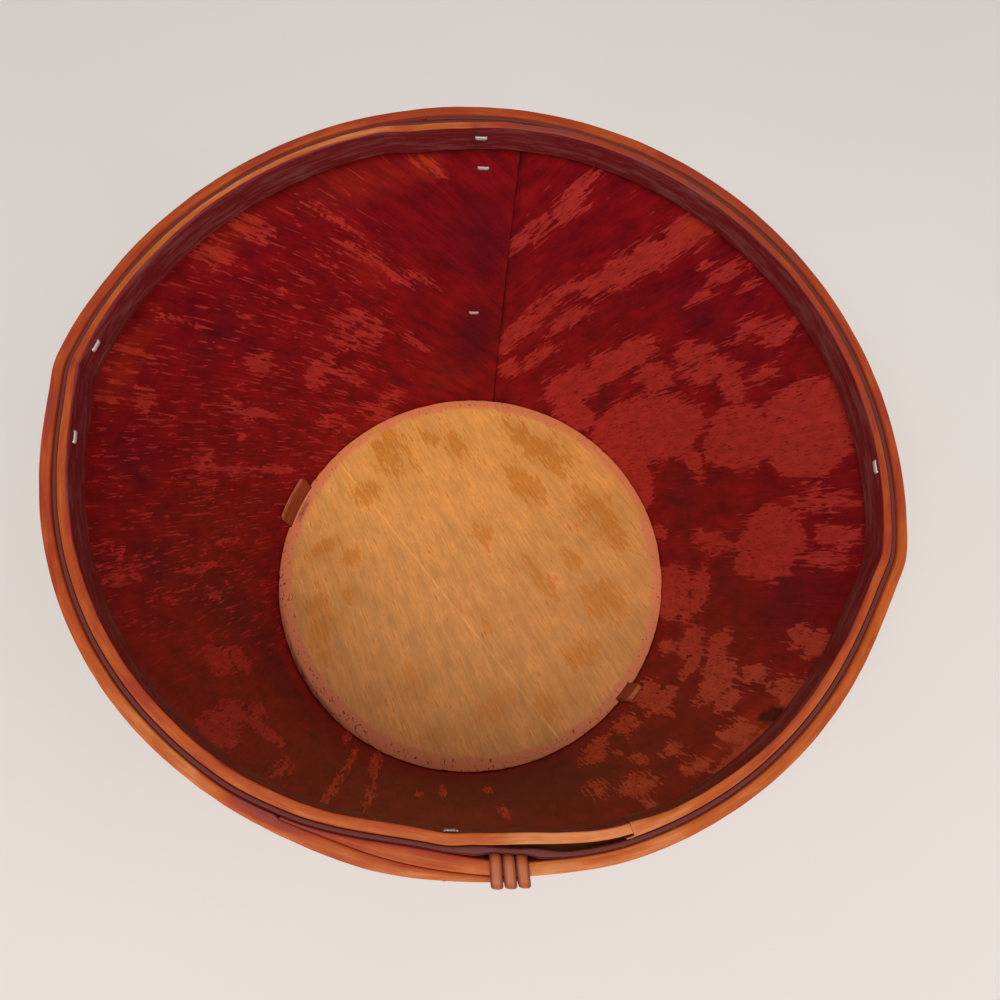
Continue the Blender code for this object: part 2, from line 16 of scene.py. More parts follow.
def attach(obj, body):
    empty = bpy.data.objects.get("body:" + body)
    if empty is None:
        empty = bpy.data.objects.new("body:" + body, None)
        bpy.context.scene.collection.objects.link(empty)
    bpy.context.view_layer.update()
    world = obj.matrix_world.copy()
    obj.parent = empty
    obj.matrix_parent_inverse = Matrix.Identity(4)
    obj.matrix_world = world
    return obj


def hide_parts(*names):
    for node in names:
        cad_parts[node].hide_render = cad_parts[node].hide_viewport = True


bl_info = {
    "name": "Veneer Measuring Basket",
    "version": (1, 0, 0),
    "blender": (4, 5, 0),
    "location": "View3D > Sidebar > Basket",
    "description": "Builds a round basket of stained veneer with two rim hoops",
    "category": "Object",
}

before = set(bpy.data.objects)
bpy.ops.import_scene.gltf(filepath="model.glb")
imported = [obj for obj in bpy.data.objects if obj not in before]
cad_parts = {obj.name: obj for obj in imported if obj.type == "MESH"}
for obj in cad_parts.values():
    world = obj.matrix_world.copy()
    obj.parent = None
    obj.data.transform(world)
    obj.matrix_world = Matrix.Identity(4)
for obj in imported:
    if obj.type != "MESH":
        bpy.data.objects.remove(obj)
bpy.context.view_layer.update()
MM = 0.001
MERGE_DISTANCE = 0.00001
SHARP_ANGLE = 35.0

# Fits and the form of the cone, as in the CAD
GAP = 0.0003
LASH_GAP = 0.0004
BOARD_RADIUS = 0.1037
BOARD_THICK = 0.011
INSIDE_DEPTH = 0.1804
WALL_THICK = 0.0016
WALL_TOP_DROP = 0.0008
RIM_Z = BOARD_THICK + INSIDE_DEPTH
WALL_FOOT_RADIUS = BOARD_RADIUS + GAP + WALL_THICK

# Lapped seam of the wall sheet
SEAM_AZIMUTH = 82.5
SEAM_SLANT = 1.9
SEAM_SLANT_FADE = 4.0
SEAM_OVERLAP = 15.0
SEAM_EASE = 9.0
SKIVE_THICK = 0.0005
SKIVE_LENGTH = 8.5

# Steps up the wall's faces, and its top edge, eased, and spread towards both hoops between two drops
# below the rim
WALL_EDGE_EASE = 0.0003
WALL_FACE_STEPS = 56
WALL_FOOT_ROWS = (0.0003, 0.0055)
EDGE_SPREAD_DROPS = (0.003, 0.0012)
EDGE_SPREAD_OUT = 0.00015
EDGE_SPREAD_IN = 0.00014
EDGE_SPREAD_AT_LASHING = 0.75
# Marks of its cut edge, which the veneer's finish knows by a soil-and-shade mark above 1
CUT_EDGE_MARKS = (-1.0, 0.0, 2.0)

# Out-of-round form of the rim, on the outer hoop's outer face
RIM_RADIUS = 0.1494
RIM_LEAN_RIGHT = 0.00485
RIM_LEAN_BACK = 0.0011
RIM_SQUEEZE = 0.0033
RIM_SQUEEZE_AZIMUTH = 153.0
RIM_LOBES = 0.001
RIM_LOBES_AZIMUTH = 75.0
KINK_HEIGHT = 0.0038
KINK_AZIMUTHS = (343.5, 168.5)
KINK_STEEP_SIDE = 5.2
KINK_EASY_SIDE = 19.8
KINK_ROUNDING = 1.5

# Outer hoop and its lap
OUTER_COLUMNS = 396
OUTER_THICK = 0.004
OUTER_THINNING = 0.0010
OUTER_THIN_AZIMUTH = 5.0
OUTER_THIN_SPREAD = 60.0
OUTER_HEIGHT = 0.013
LAP_HIDDEN_END = 246.0
LAP_OPEN_END = 277.8
LAP_THIN_END = 0.0005
LAP_BLUNT_END = 0.001
LAP_HIDDEN_SCARF = 20.0
LAP_OPEN_SCARF = 27.0
LAP_HIDDEN_RELEASE = 9.0
LAP_OPEN_RELEASE = 13.0
LAP_SWELL = 0.0011
LAP_SWELL_AZIMUTH = 260.0
LAP_SWELL_SPREAD = 20.0
LAP_PROUD = 0.0008
LAP_PROUD_SPREAD = 13.0
LAP_PRESSED = 0.0002
LAP_BLEND = 12.0

# Unevenness of each riven strip: scale and weight of the broad and fine waves of its face, their level,
# and scale, weight, level and reach of the waves along its top and bottom edges
OUTER_WAVES = ((28.0, 0.6), (160.0, 0.5), 0.4, (45.0, 0.9, 0.6, 0.004), (38.0, 0.9, 0.6, 0.009))
INNER_WAVES = ((25.0, 1.0), (150.0, 0.7), 0.5, (60.0, 0.8, 0.5, 0.003), (40.0, 1.3, 0.8, 0.006))

# Inner hoop and its scarf, and a split and a crack that cross it
INNER_COLUMNS = 363
INNER_THICK = 0.0034
INNER_UNEVEN = 0.0007
INNER_THICKEST_AZIMUTH = 205.0
INNER_HEIGHT = 0.0107
SCARF_AZIMUTH = 291.5
SCARF_OVERLAP = 1.0
SCARF_LENGTH = 5.5
SCARF_THIN_END = 0.0005
SCARF_FIRST_COLUMNS = (0.0, 0.5, 1.02, 1.08)
FRONT_GAP = 0.0011
FREE_AZIMUTH = 272.5
RETURN_AZIMUTH = 276.0
SPLIT_AZIMUTH = 168.7
SPLIT_DEPTH = 0.00025
CRACK_AZIMUTH = 89.5

# Cane lashing
CANE_WIDTH = 0.0031
CANE_THICK = 0.0014
CANE_BULGE = 1.24
LASH_AZIMUTH = 275.6
LASH_TURNS = 3
LASH_PITCH = 0.0042
LASH_CORNER = 0.0016
LASH_START = 0.5
LASH_TAIL = 0.96
LASH_SIDE = 0.0015
LASH_EASES = (6.0, 5.0)
LASH_BEND_STEPS = 6
LASH_NARROWING = 0.14
LASH_ROOM = CANE_THICK + 2 * LASH_GAP - GAP

# Staples, as azimuth and drop below the rim, and nails
STAPLE_WIDTH = 0.0046
STAPLE_TIP = 0.0015
STAPLE_BEND = 0.0009
STAPLE_CROWN_GAP = 0.0005
STAPLE_TIP_GAP = 0.00042
# The front staple's crown is drawn a little thinner, so that its finish paints the shade it lies in as rust
SHADED_FRONT_STAPLE = "hoop_staple_4"
HOOP_STAPLES = ((88.4, 0.0060), (164.5, 0.0039), (179.7, 0.0036), (268.3, 0.0027), (355.9, 0.0028))
SEAM_STAPLES = ((88.0, 0.0231), (89.6, 0.1103))
NAIL_COUNT = 8
NAIL_FIRST_AZIMUTH = 22.5
NAIL_HEIGHT = 0.0042
NAIL_LENGTH = 0.016
NAIL_COLUMNS = 28
# The nail's domed head: share of its radius, and height in mm above the wall
NAIL_DOME = ((0.0, 0.62), (0.45, 0.58), (0.8, 0.47), (0.95, 0.33), (1.0, 0.18), (0.96, 0.0))

# Keys between board and wall: name, azimuth, length, thickness and height above the board
KEY_DEPTH = 0.004
KEY_EASE = 0.00035
KEY_STEP = 0.0006
KEYS = (
    ("board_key_left", 158.0, 0.0255, 0.0014, 0.0115),
    ("board_key_right", 321.6, 0.0108, 0.0022, 0.0165),
)

# The veneer was cut from a flat sheet whose grain runs straight down the cone at this azimuth
GRAIN_AZIMUTH = 285.0
CONE_SLOPE = 0.219
WALL_TOP_INSET = 0.0059
CONE_SINE = math.sin(math.atan(CONE_SLOPE))
MEAN_SLOPE = (RIM_RADIUS - OUTER_THICK - GAP - WALL_FOOT_RADIUS) / INSIDE_DEPTH

# Wear between the worn places, as a level with its rise at the right and, from one azimuth pair to the
# other, at the left; how far a worn place's edge can fray and the least half size that counts for this,
# in mm; and the rim's length in mm to a degree
BARE_LEVEL = -0.66
BARE_RISE_RIGHT = 0.16
BARE_RIGHT = (325.0, 345.0)
BARE_RISE_LEFT = 0.41
BARE_LEFT = ((92.0, 116.0), (200.0, 222.0))
FRAY = 9.0
LEAST_HALF_SIZE = 4.0
MM_PER_DEGREE = 2.3

# Knot near the rim: azimuth, depth below the rim and radius of its dark ring in mm, drawn out downwards
KNOT_AZIMUTH = 318.2
KNOT_DEPTH = 23.5
KNOT_RING = 2.0
KNOT_SHORTENING = 0.4

# Worn places on the wall's inner side, each as azimuth, depth below the rim, half its length along
# the grain and half its width in mm, and how bare its middle is
WORN_RIGHT = (
    (353, 76, 27, 16, 1.0), (353, 98, 8, 8, 0.5), (346, 38, 16, 3, 0.3), (349, 31, 12, 4, 0.3),
    (356, 40, 16, 4, 0.2), (368.5, 38, 30, 20, 1.0), (376, 80, 26, 15, 1.0), (378, 102, 8, 7, 0.5),
    (385, 67, 9, 9, 0.7), (382, 47, 10, 3, 0.4), (394, 76, 15, 11, 0.22), (388, 62, 8, 5, 0.2),
    (396, 140, 50, 19, 1.0), (401, 105, 14, 8, 0.6), (392, 172, 14, 22, 0.7), (381.5, 120, 8, 8, 0.7),
    (377, 121, 4, 4, 0.4), (360, 124, 17, 5, 0.4), (363, 137, 7, 4, 0.3), (353, 169, 21, 15, 1.0),
    (350, 138, 10, 11, 0.35), (345, 148, 8, 4, 0.2), (372, 175, 8, 4, 0.6), (409, 24, 15, 7, 0.9),
    (413.5, 44, 15, 7, 0.9), (418, 60, 15, 7, 0.9), (422, 75, 12, 6, 0.9), (408, 100, 15, 7, 0.5),
    (413, 120, 20, 8, 0.9), (420, 148, 24, 10, 1.0), (417, 170, 14, 12, 0.7), (426, 103, 13, 4, 0.9),
    (429, 86, 12, 3, 0.5), (433, 100, 15, 4, 0.8), (437, 118, 16, 4.5, 0.8), (441, 133, 12, 4, 0.7),
    (430, 24, 11, 2.5, 0.4), (432, 38, 12, 4, 0.35), (436, 51, 13, 4, 0.3), (440, 62, 12, 3, 0.3),
    (431, 133, 9, 4, 0.6), (434, 143, 7, 3, 0.5), (439, 152, 8, 5, 0.6), (385, 27, 11, 4.5, 0.45),
    (390, 36, 10, 3, 0.4), (399, 25, 12, 3, 0.4), (401, 46, 8, 2, 0.4), (394, 22, 8, 2.5, 0.3),
    (403, 30, 7, 2, 0.2), (391, 50, 7, 2, 0.2),
)
WORN_FRONT = (
    (310, 19, 7, 14, 0.7), (322, 18, 7, 9, 0.6), (314.5, 36, 14, 6, 0.8), (323.5, 28, 15, 3.5, 0.6),
    (306.5, 36, 10, 4, 0.5), (299, 57, 15, 7, 0.72), (294, 79, 14, 4, 0.47), (297, 30, 10, 2, 0.35),
    (308, 70, 10, 4, 0.47), (304, 87, 12, 2, 0.3), (320.5, 65, 9, 6, 0.62), (326, 57, 10, 5, 0.62),
    (324.5, 86, 15, 12, 0.92), (329, 97, 9, 8, 0.82), (334, 103, 12, 7, 0.82), (331, 24, 9, 6, 0.42),
    (333, 38, 9, 5, 0.42), (300, 132, 13, 6, 0.62), (304, 150, 12, 8, 0.62), (311.5, 146, 18, 5, 0.52),
    (320, 128, 12, 9, 0.62), (321.5, 154, 19, 8, 0.57), (330, 121, 8, 9, 0.62), (336, 134, 13, 8, 0.82),
    (336, 160, 10, 3, 0.32), (317, 112, 9, 2, 0.4), (303.5, 116, 10, 2, 0.4), (276.5, 67, 13, 1.6, 0.3),
    (274.5, 120, 8, 1.6, 0.3), (265, 112, 15, 2, 0.35), (260.5, 92, 9, 2, 0.45), (227, 42, 21, 9, 0.57),
    (224, 68, 14, 6, 0.47), (229, 80, 9, 10, 0.57), (224, 92, 10, 4, 0.42), (238, 52, 14, 3, 0.32),
    (211, 90, 14, 7, 0.52), (209.5, 113, 9, 7, 0.47), (247, 60, 38, 1.7, 0.55), (242.5, 130, 32, 1.6, 0.5),
    (252.5, 72, 32, 1.5, 0.4), (247, 145, 38, 2.2, 0.6), (235, 170, 14, 1.8, 0.4),
)
WORN_LEFT = (
    (98, 21, 10, 3, 0.25), (117, 38, 18, 1.4, 0.15), (113, 61, 15, 2, 0.15), (107, 80, 10, 2, 0.15),
    (101.5, 84, 9, 2, 0.2), (131, 24, 11, 5, 0.15), (139, 22, 8, 5, 0.1), (165, 43, 6, 5, 0.2),
    (160, 27, 13, 1.8, 0.1), (168, 30, 14, 1.8, 0.1), (151, 33, 14, 1.6, 0.1), (142.5, 88, 9, 5, 0.4),
    (131, 120, 9, 9, 0.2), (119, 107, 16, 13, 0.05), (125, 132, 12, 4, 0.1), (154, 90, 14, 3, 0.15),
    (150, 108, 13, 3, 0.15), (171, 95, 13, 14, 0.0), (158, 138, 30, 2.4, 0.2), (181, 118, 14, 2, 0.1),
    (189.5, 98, 21, 2.2, 0.25), (194.5, 111, 6, 3, 0.2), (191, 124, 6, 2, 0.15), (196, 34, 16, 9, -0.05),
    (115, 164, 7, 5, 0.1), (122, 167, 12, 4, 0.1), (134, 160, 12, 5, 0.05), (104, 130, 10, 2, 0.1),
)
# Tones of the stain, each as azimuth, depth, half sizes along the rim and down the wall in mm, and
# amount: above 0 it glows orange through a thin coat, below 0 it lies thick and almost purple
TONES = (
    (98, 19, 10, 12, 0.9), (112, 24, 42, 18, 0.5), (136, 20, 26, 14, 0.6), (112, 72, 14, 22, 0.3),
    (98, 160, 28, 20, 0.4), (130, 176, 60, 12, 0.35), (163, 24, 34, 14, 0.6), (88, 62, 22, 38, -0.6),
    (89, 128, 22, 32, -0.7), (146, 54, 30, 16, -0.35), (176, 42, 16, 30, -0.4), (193, 62, 18, 26, -0.5),
    (196, 118, 34, 40, -0.6), (212, 150, 60, 34, -0.5), (214, 174, 50, 10, 0.6), (318, 174, 36, 10, 0.5),
    (250, 100, 60, 110, -0.35), (284, 120, 80, 90, -0.7), (316, 19, 30, 14, 1.6), (315, 34, 22, 18, 1.2),
    (341, 62, 22, 46, -0.4), (350, 110, 24, 18, -0.3), (372, 22, 26, 18, 0.3), (374, 142, 30, 26, -0.4),
    (399, 52, 32, 20, -0.4), (408, 20, 14, 12, 0.5), (411, 142, 9, 24, -0.5), (396, 172, 40, 14, 0.3),
    (436, 176, 30, 12, 0.2),
)

# Places with a tint, a darker band or painted shade of their own, each as azimuth and spread
# Painted shade on the wall's inner face by the lashing, behind the free inner hoop
SHADE_BY_LASHING = (282.0, 12.0)
RED_AT_RIGHT = (0.0, 30.0)
RED_UNDER_LAP = (262.0, 30.0)
MAUVE_ON_LAP = (244.0, 9.0)
STAINED_BACK_LEFT = (150.0, 95.0)
BORDER_WIDEST = (215.0, 90.0)
BORDER_REDDEST = (225.0, 120.0)
# The board's edge along the front left is drawn darker
BOARD_DARKENED_EDGE = (213.0, 38.0)

# How red the hoops' edges are round the rim: 0 pale orange, 0.35 orange, 0.7 rust red, 1 faded mauve
# Round 226 to 240 and at 280 the pale stops are partly the hoop's own rubbed colour, partly painted highlight
OUTER_TINTS = (
    (0, 0.50), (20, 0.74), (40, 0.74), (60, 0.64), (100, 0.70), (120, 0.58), (140, 0.64), (160, 0.70),
    (180, 0.62), (200, 0.66), (214, 0.45), (226, 0.18), (240, 0.28), (262, 0.42), (280, 0.12), (297, 0.30),
    (308, 0.45), (330, 0.50),
)
INNER_TINTS = (
    (0, 0.66), (20, 0.78), (40, 0.56), (52, 0.84), (80, 0.86), (92, 0.20), (120, 0.22), (145, 0.32),
    (180, 0.50), (200, 0.60), (225, 0.45), (262, 0.42), (284, 0.00), (300, 0.30), (330, 0.50),
)

# Amber stains on the board: place, half length along the grain, half width in mm, and strength
BOARD_STAINS = (
    (-45, 70, 17, 12, 1.0), (-22, 80, 7, 7, 0.7), (-10, 74, 11, 8, 1.0), (26, 84, 12, 8, 0.8),
    (43, 70, 15, 13, 1.0), (28, 52, 17, 7, 0.9), (71, 32, 20, 11, 0.9), (55, 6, 9, 5, 0.6),
    (71, -14, 14, 10, 1.0), (37, -3, 17, 4, 0.9), (60, -43, 7, 11, 1.0), (-79, 14, 5, 11, 1.0),
    (-66, 9, 5, 7, 0.6), (-64, -12, 5, 5, 0.8), (-84, -18, 5, 6, 1.0), (-77, -30, 8, 8, 1.1),
    (-75, -45, 4, 5, 0.9), (-58, 48, 8, 10, 0.3), (6, 24, 8, 8, 0.2), (8, -26, 8, 4, 0.4),
    (14, -70, 9, 15, 0.5), (38, -72, 7, 6, 0.8), (-17, -86, 5, 6, 0.8), (-28, -62, 12, 8, 0.4),
)

# Camera of the photograph, in the frame's axes, with its downward view as a turn from straight down
CAMERA_PLACE = (0.01605, -0.1304, 0.4928)
CAMERA_TILT = 19.67
CAMERA_SENSOR = 36.0
CAMERA_LENS = 33.12

# Both lamps as place and size, the point that they are aimed at, and the floor's drop below the basket
KEY_LAMP = ((-0.25, -0.6, 1.8), 1.0)
FILL_LAMP = ((0.9, -0.5, 1.3), 1.2)
LAMP_AIM = (0.0, 0.0, 0.1)
FLOOR_DROP = 0.0002

# The board's grain runs down to the right at this angle, and its lines close up towards the lower left
BOARD_GRAIN_ANGLE = 62.0
BOARD_GRAIN_FAN = 0.0015

# Amber, red and soil of the board's underside
UNDERSIDE_MARKS = (0.2, 0.0, 0.1)

# Columns round the board, and rings in mm across its top, its border (first, step, count) and underside
BOARD_COLUMNS = 288
TOP_RINGS = range(0, 93, 3)
BORDER_RINGS = (92.5, 0.7, 16)
UNDER_RINGS = (100.8, 98, 90, 80, 66, 50, 34, 18, 0)

# The groove beside the left key: azimuth, spread, radius in mm and depth
GROOVE_AZIMUTH = 159.0
GROOVE_SPREAD = 6.0
GROOVE_RADIUS = 100.0
GROOVE_DEPTH = 0.00045


def linear(hex_colour):
    """Linear RGBA for an sRGB hex colour."""
    shares = [int(hex_colour[at : at + 2], 16) / 255 for at in (1, 3, 5)]
    return (*[s / 12.92 if s <= 0.04045 else ((s + 0.055) / 1.055) ** 2.4 for s in shares], 1.0)


def colour_setting(name, hex_colour, description):
    """A colour that the sidebar offers."""
    return FloatVectorProperty(
        name=name, description=description, subtype="COLOR", size=4, min=0, max=1, default=linear(hex_colour)
    )


def length_setting(name, default, description):
    """A length in metres that the sidebar offers."""
    return FloatProperty(
        name=name, description=description, default=default, min=0, unit="LENGTH", precision=5
    )


class BasketSizes(PropertyGroup):
    """Sizes of the details that the CAD leaves to the finish"""

    hoop_ease: length_setting("Hoop edge", 0.0005, "Rounding of the hoops' edges")
    hoop_relief: length_setting("Hoop relief", 0.00022, "Unevenness of the riven hoops")
    wall_wave: length_setting("Wall wave", 0.0005, "How far the veneer stands off its true cone")
    border_width: length_setting("Board border", 0.0065, "Width of the board's sloping border")
    border_drop: length_setting("Border drop", 0.0007, "Drop of the board's border at its edge")
    edge_chips: length_setting("Edge chips", 0.0009, "Depth of the chips in the board's edge")
    staple_crown: length_setting("Staple crown", 0.0016, "Width of the staples' flattened crowns")
    nail_head: length_setting("Nail head", 0.0019, "Radius of the nails' heads")
    nail_shank: length_setting("Nail shank", 0.0007, "Radius of the nails' shanks")


class BasketColours(PropertyGroup):
    """Colours of the basket's woods, stain and wire"""

    stain: colour_setting("Stain", "#6c0c18", "Dark red stain on the veneer")
    stain_thin: colour_setting("Thin stain", "#99141a", "Stain where it took less well")
    stain_deep: colour_setting("Deep stain", "#461020", "Stain where it lies thick")
    worn: colour_setting("Worn stain", "#b8342e", "Stain rubbed back to the wood")
    # Partly the veneer's own browner tone at the front, partly painted warm light bounced from the board
    browned_and_bounce_lit: colour_setting("Browned wood", "#d05a3c", "Rubbed wood that has browned")
    cut_edge: colour_setting("Cut edge", "#63302b", "Top edge of the veneer")
    glow: colour_setting("Orange stain", "#c23c1a", "Stain with the wood showing through")
    # Soil in seams, knots and cracks, and also painted shade under the inner hoop and behind it by the
    # lashing
    soot_and_shade: colour_setting("Soil", "#38100f", "Dirt in seams and knots")
    hoop_edge: colour_setting("Hoop edge", "#b0531c", "Hoops' top edges and outer face")
    hoop_pale: colour_setting("Pale hoop", "#cc7c4a", "Hoops where they are rubbed most")
    hoop_red: colour_setting("Red hoop", "#983418", "Hoops' edges where some stain is left")
    hoop_mauve: colour_setting("Mauve hoop", "#84392e", "Hoops' edges with faded stain")
    # Painted sheen: grey streaks drawn on the stained hoop
    hoop_grey_sheen: colour_setting("Grey hoop", "#7a4440", "Weathered streaks on the stained hoop")
    hoop_face: colour_setting("Hoop face", "#661c1b", "Inner hoop's stained face")
    board: colour_setting("Board", "#d89149", "Bare wood of the board")
    # Painted light: the board's far side, which is lit more, is drawn in this more golden colour
    board_gold_lit: colour_setting("Golden board", "#eba04c", "Board at its sunned far side")
    board_amber: colour_setting("Board stain", "#cc7c22", "Amber stains on the board")
    board_border: colour_setting("Board border", "#e07d55", "Reddened border of the board")
    # Painted highlight: the pale colour low on the cane's outer bends
    cane_pale_highlight: colour_setting("Rubbed cane", "#dc9a76", "Cane where it stands out and is rubbed")
    cane: colour_setting("Cane", "#b57038", "Split cane of the lashing")
    wire: colour_setting("Wire", "#ddd0ca", "Tinned steel of staples and nails")


class StudioSettings(PropertyGroup):
    """Floor and light of the studio"""

    floor: colour_setting("Floor", "#e2dbd6", "Colour of the plain floor")
    floor_size: FloatProperty(name="Floor size", description="Side of the floor", default=6.0, unit="LENGTH")
    ambient: FloatProperty(name="Ambient", description="Strength of the even light", default=0.38, min=0)
    key_power: FloatProperty(name="Key lamp", description="Watts of the large lamp", default=21.8, min=0)
    fill_power: FloatProperty(name="Fill lamp", description="Watts of the second lamp", default=5.4, min=0)
    wall_columns: IntProperty(name="Wall columns", description="Steps round the wall", default=375, min=96)


def sizes():
    """The size settings of this file."""
    return bpy.context.scene.basket_sizes


def colours():
    """The colour settings of this file."""
    return bpy.context.scene.basket_colours


def studio():
    """The settings of the floor and light."""
    return bpy.context.scene.basket_studio


def turn_between(azimuth, other):
    """Signed turn from the other azimuth to this one, from -180 to 180 degrees."""
    return (azimuth - other + 180.0) % 360.0 - 180.0


def ramp(value, start, end):
    """0 before start and 1 after end, with a smooth rise between them."""
    share = min(max((value - start) / (end - start), 0.0), 1.0)
    return share * share * (3.0 - 2.0 * share)


def fall(value, start, end):
    """1 before start and 0 after end, with a smooth fall between them."""
    return 1.0 - ramp(value, start, end)


def swell(azimuth, centre, spread):
    """A smooth bump of height 1 at the centre, and 0 from the spread outwards."""
    share = min(abs(turn_between(azimuth, centre)) / spread, 1.0)
    return 0.5 + 0.5 * math.cos(math.pi * share)


def kink(turn):
    """An outward kink, steep on its negative side."""
    side = KINK_STEEP_SIDE if turn < 0 else KINK_EASY_SIDE
    return KINK_HEIGHT * math.exp(-(math.hypot(turn, KINK_ROUNDING) - KINK_ROUNDING) / side)


def rim_radius(azimuth):
    """Radius of the outer hoop's outer face at the top of the rim."""
    radius = RIM_RADIUS
    radius += RIM_SQUEEZE * math.cos(2 * math.radians(azimuth - RIM_SQUEEZE_AZIMUTH))
    radius += RIM_LOBES * math.cos(3 * math.radians(azimuth - RIM_LOBES_AZIMUTH))
    radius += kink(turn_between(azimuth, KINK_AZIMUTHS[0]))
    radius += kink(turn_between(KINK_AZIMUTHS[1], azimuth))
    return radius + LAP_PROUD * swell(azimuth, LAP_SWELL_AZIMUTH, LAP_PROUD_SPREAD)


def strip_thickness(azimuth):
    """Thickness of the outer hoop's strip away from its pared ends; it is thickest at the lap."""
    thick = OUTER_THICK - OUTER_THINNING * swell(azimuth, OUTER_THIN_AZIMUTH, OUTER_THIN_SPREAD)
    return thick + LAP_SWELL * swell(azimuth, LAP_SWELL_AZIMUTH, LAP_SWELL_SPREAD)


def inner_thickness(azimuth):
    """Thickness of the inner hoop, which was riven unevenly."""
    return INNER_THICK + INNER_UNEVEN * math.cos(math.radians(azimuth - INNER_THICKEST_AZIMUTH))


def lap_outer_layer(azimuth):
    """Thickness of the outer of the two layers of the lap, pared towards its open end."""
    pared = max(azimuth - LAP_OPEN_END + LAP_OPEN_SCARF, 0.0) / LAP_OPEN_SCARF
    return strip_thickness(azimuth) - (strip_thickness(azimuth) - LAP_BLUNT_END) * pared**1.5


def lap_inner_layer(azimuth):
    """Thickness of the inner of the two layers of the lap, thin at its hidden end."""
    grown = ramp(azimuth, LAP_HIDDEN_END, LAP_HIDDEN_END + LAP_HIDDEN_SCARF)
    return LAP_THIN_END + (strip_thickness(azimuth) - LAP_THIN_END) * grown


def open_step(azimuth):
    """How far the strip lies inside the rim's outline where it comes out from under the open end."""
    return (LAP_BLUNT_END + GAP) * fall(azimuth, LAP_OPEN_END, LAP_OPEN_END + LAP_OPEN_RELEASE)


def hoop_depth(azimuth):
    """Distance from the rim's outermost face in to the outer hoop's inner face."""
    azimuth = azimuth % 360.0
    if azimuth < LAP_HIDDEN_END:
        lift = ramp(azimuth, LAP_HIDDEN_END - LAP_HIDDEN_RELEASE, LAP_HIDDEN_END)
        return strip_thickness(azimuth) + (LAP_THIN_END + GAP) * lift
    if azimuth <= LAP_OPEN_END:
        return lap_outer_layer(azimuth) + GAP + lap_inner_layer(azimuth)
    return strip_thickness(azimuth) + open_step(azimuth)


def lash_half_angle():
    """Half of the arc over which the wall stands clear for the lashing's turns, in degrees."""
    half_width = ((LASH_TURNS - 1) * LASH_PITCH + CANE_WIDTH) / 2
    return math.degrees((half_width + LASH_SIDE) / RIM_RADIUS)


def lash_room(azimuth):
    """Room between the wall and the outer hoop for the cane, eased off on both sides of it."""
    turn = turn_between(azimuth, LASH_AZIMUTH)
    ease = LASH_EASES[0] if turn < 0 else LASH_EASES[1]
    return LASH_ROOM * fall(abs(turn), lash_half_angle(), lash_half_angle() + ease)


def wall_inset(azimuth):
    """Distance from the rim's outermost face in to the wall's outer face."""
    return hoop_depth(azimuth) + GAP + lash_room(azimuth)


def skived(azimuth):
    """Thickness of the sheet's inner end, pared thin towards its edge."""
    return SKIVE_THICK + (WALL_THICK - SKIVE_THICK) * ramp(azimuth, SEAM_AZIMUTH, SEAM_AZIMUTH + SKIVE_LENGTH)


def seam_step(azimuth):
    """How far the lapped seam pushes the inner hoop inwards."""
    azimuth = azimuth % 360.0
    if azimuth < SEAM_AZIMUTH:
        return (SKIVE_THICK + GAP) * ramp(azimuth, SEAM_AZIMUTH - SEAM_EASE, SEAM_AZIMUTH - 1.0)
    end = SEAM_AZIMUTH + SEAM_OVERLAP
    return (skived(azimuth) + GAP) * fall(azimuth, end + 1.0, end + SEAM_EASE)


def height_share(z):
    """0 at and below the board's top, 1 at the rim."""
    return max((z - BOARD_THICK) / INSIDE_DEPTH, 0.0)


def wall_radius(azimuth, z):
    """Radius of the wall's outer face about the basket's axis at this height."""
    if z <= BOARD_THICK:
        return WALL_FOOT_RADIUS - MEAN_SLOPE * (BOARD_THICK - z)
    share = height_share(z)
    return (1 - share) * WALL_FOOT_RADIUS + share * (rim_radius(azimuth) - wall_inset(azimuth))


def place(azimuth, z, offset):
    """The point that lies this far outside the wall's outer face."""
    radius = wall_radius(azimuth, z) + offset
    angle = math.radians(azimuth)
    x = RIM_LEAN_RIGHT * height_share(z) + radius * math.cos(angle)
    y = RIM_LEAN_BACK * height_share(z) + radius * math.sin(angle)
    return Vector((x, y, z))


def wall_frame(azimuth, z):
    """A frame on the wall: X along the rim, Y straight out of the wall, Z up its slope."""
    origin = place(azimuth, z, 0.0)
    along = (place(azimuth - 0.5, z, 0.0) - place(azimuth + 0.5, z, 0.0)).normalized()
    up = (place(azimuth, z + 2 * MM, 0.0) - place(azimuth, z - 2 * MM, 0.0)).normalized()
    out = up.cross(along).normalized()
    up = along.cross(out).normalized()
    made = Matrix((along, out, up)).transposed().to_4x4()
    made.translation = origin
    return made


def ripple(scale, *where):
    """Even unevenness from -1 to 1 that repeats on each run."""
    return noise.noise(Vector((*where, 0.0, 0.0)[:3]) * scale)


def wrapped(name, columns, rows, shape):
    """A grid wrapped into a piece.

    shape(column, row) gives each point, its place in the flat wood and its marks.
    """
    bpy.ops.object.select_all(action="DESELECT")
    bpy.ops.mesh.primitive_grid_add(x_subdivisions=columns, y_subdivisions=rows, size=1.0)
    piece = bpy.context.object
    piece.name = piece.data.name = name
    mesh = piece.data
    flat, marks = [], []
    for vert in mesh.vertices:
        column = round((vert.co.x + 0.5) * columns)
        row = round((vert.co.y + 0.5) * rows)
        vert.co, in_wood, mark = shape(column, row)
        flat.extend(value / MM for value in in_wood)
        marks.extend(mark)
    mesh.attributes.new("lath", "FLOAT_VECTOR", "POINT").data.foreach_set("vector", flat)
    mesh.attributes.new("marks", "FLOAT_VECTOR", "POINT").data.foreach_set("vector", marks)
    close_up()
    return piece


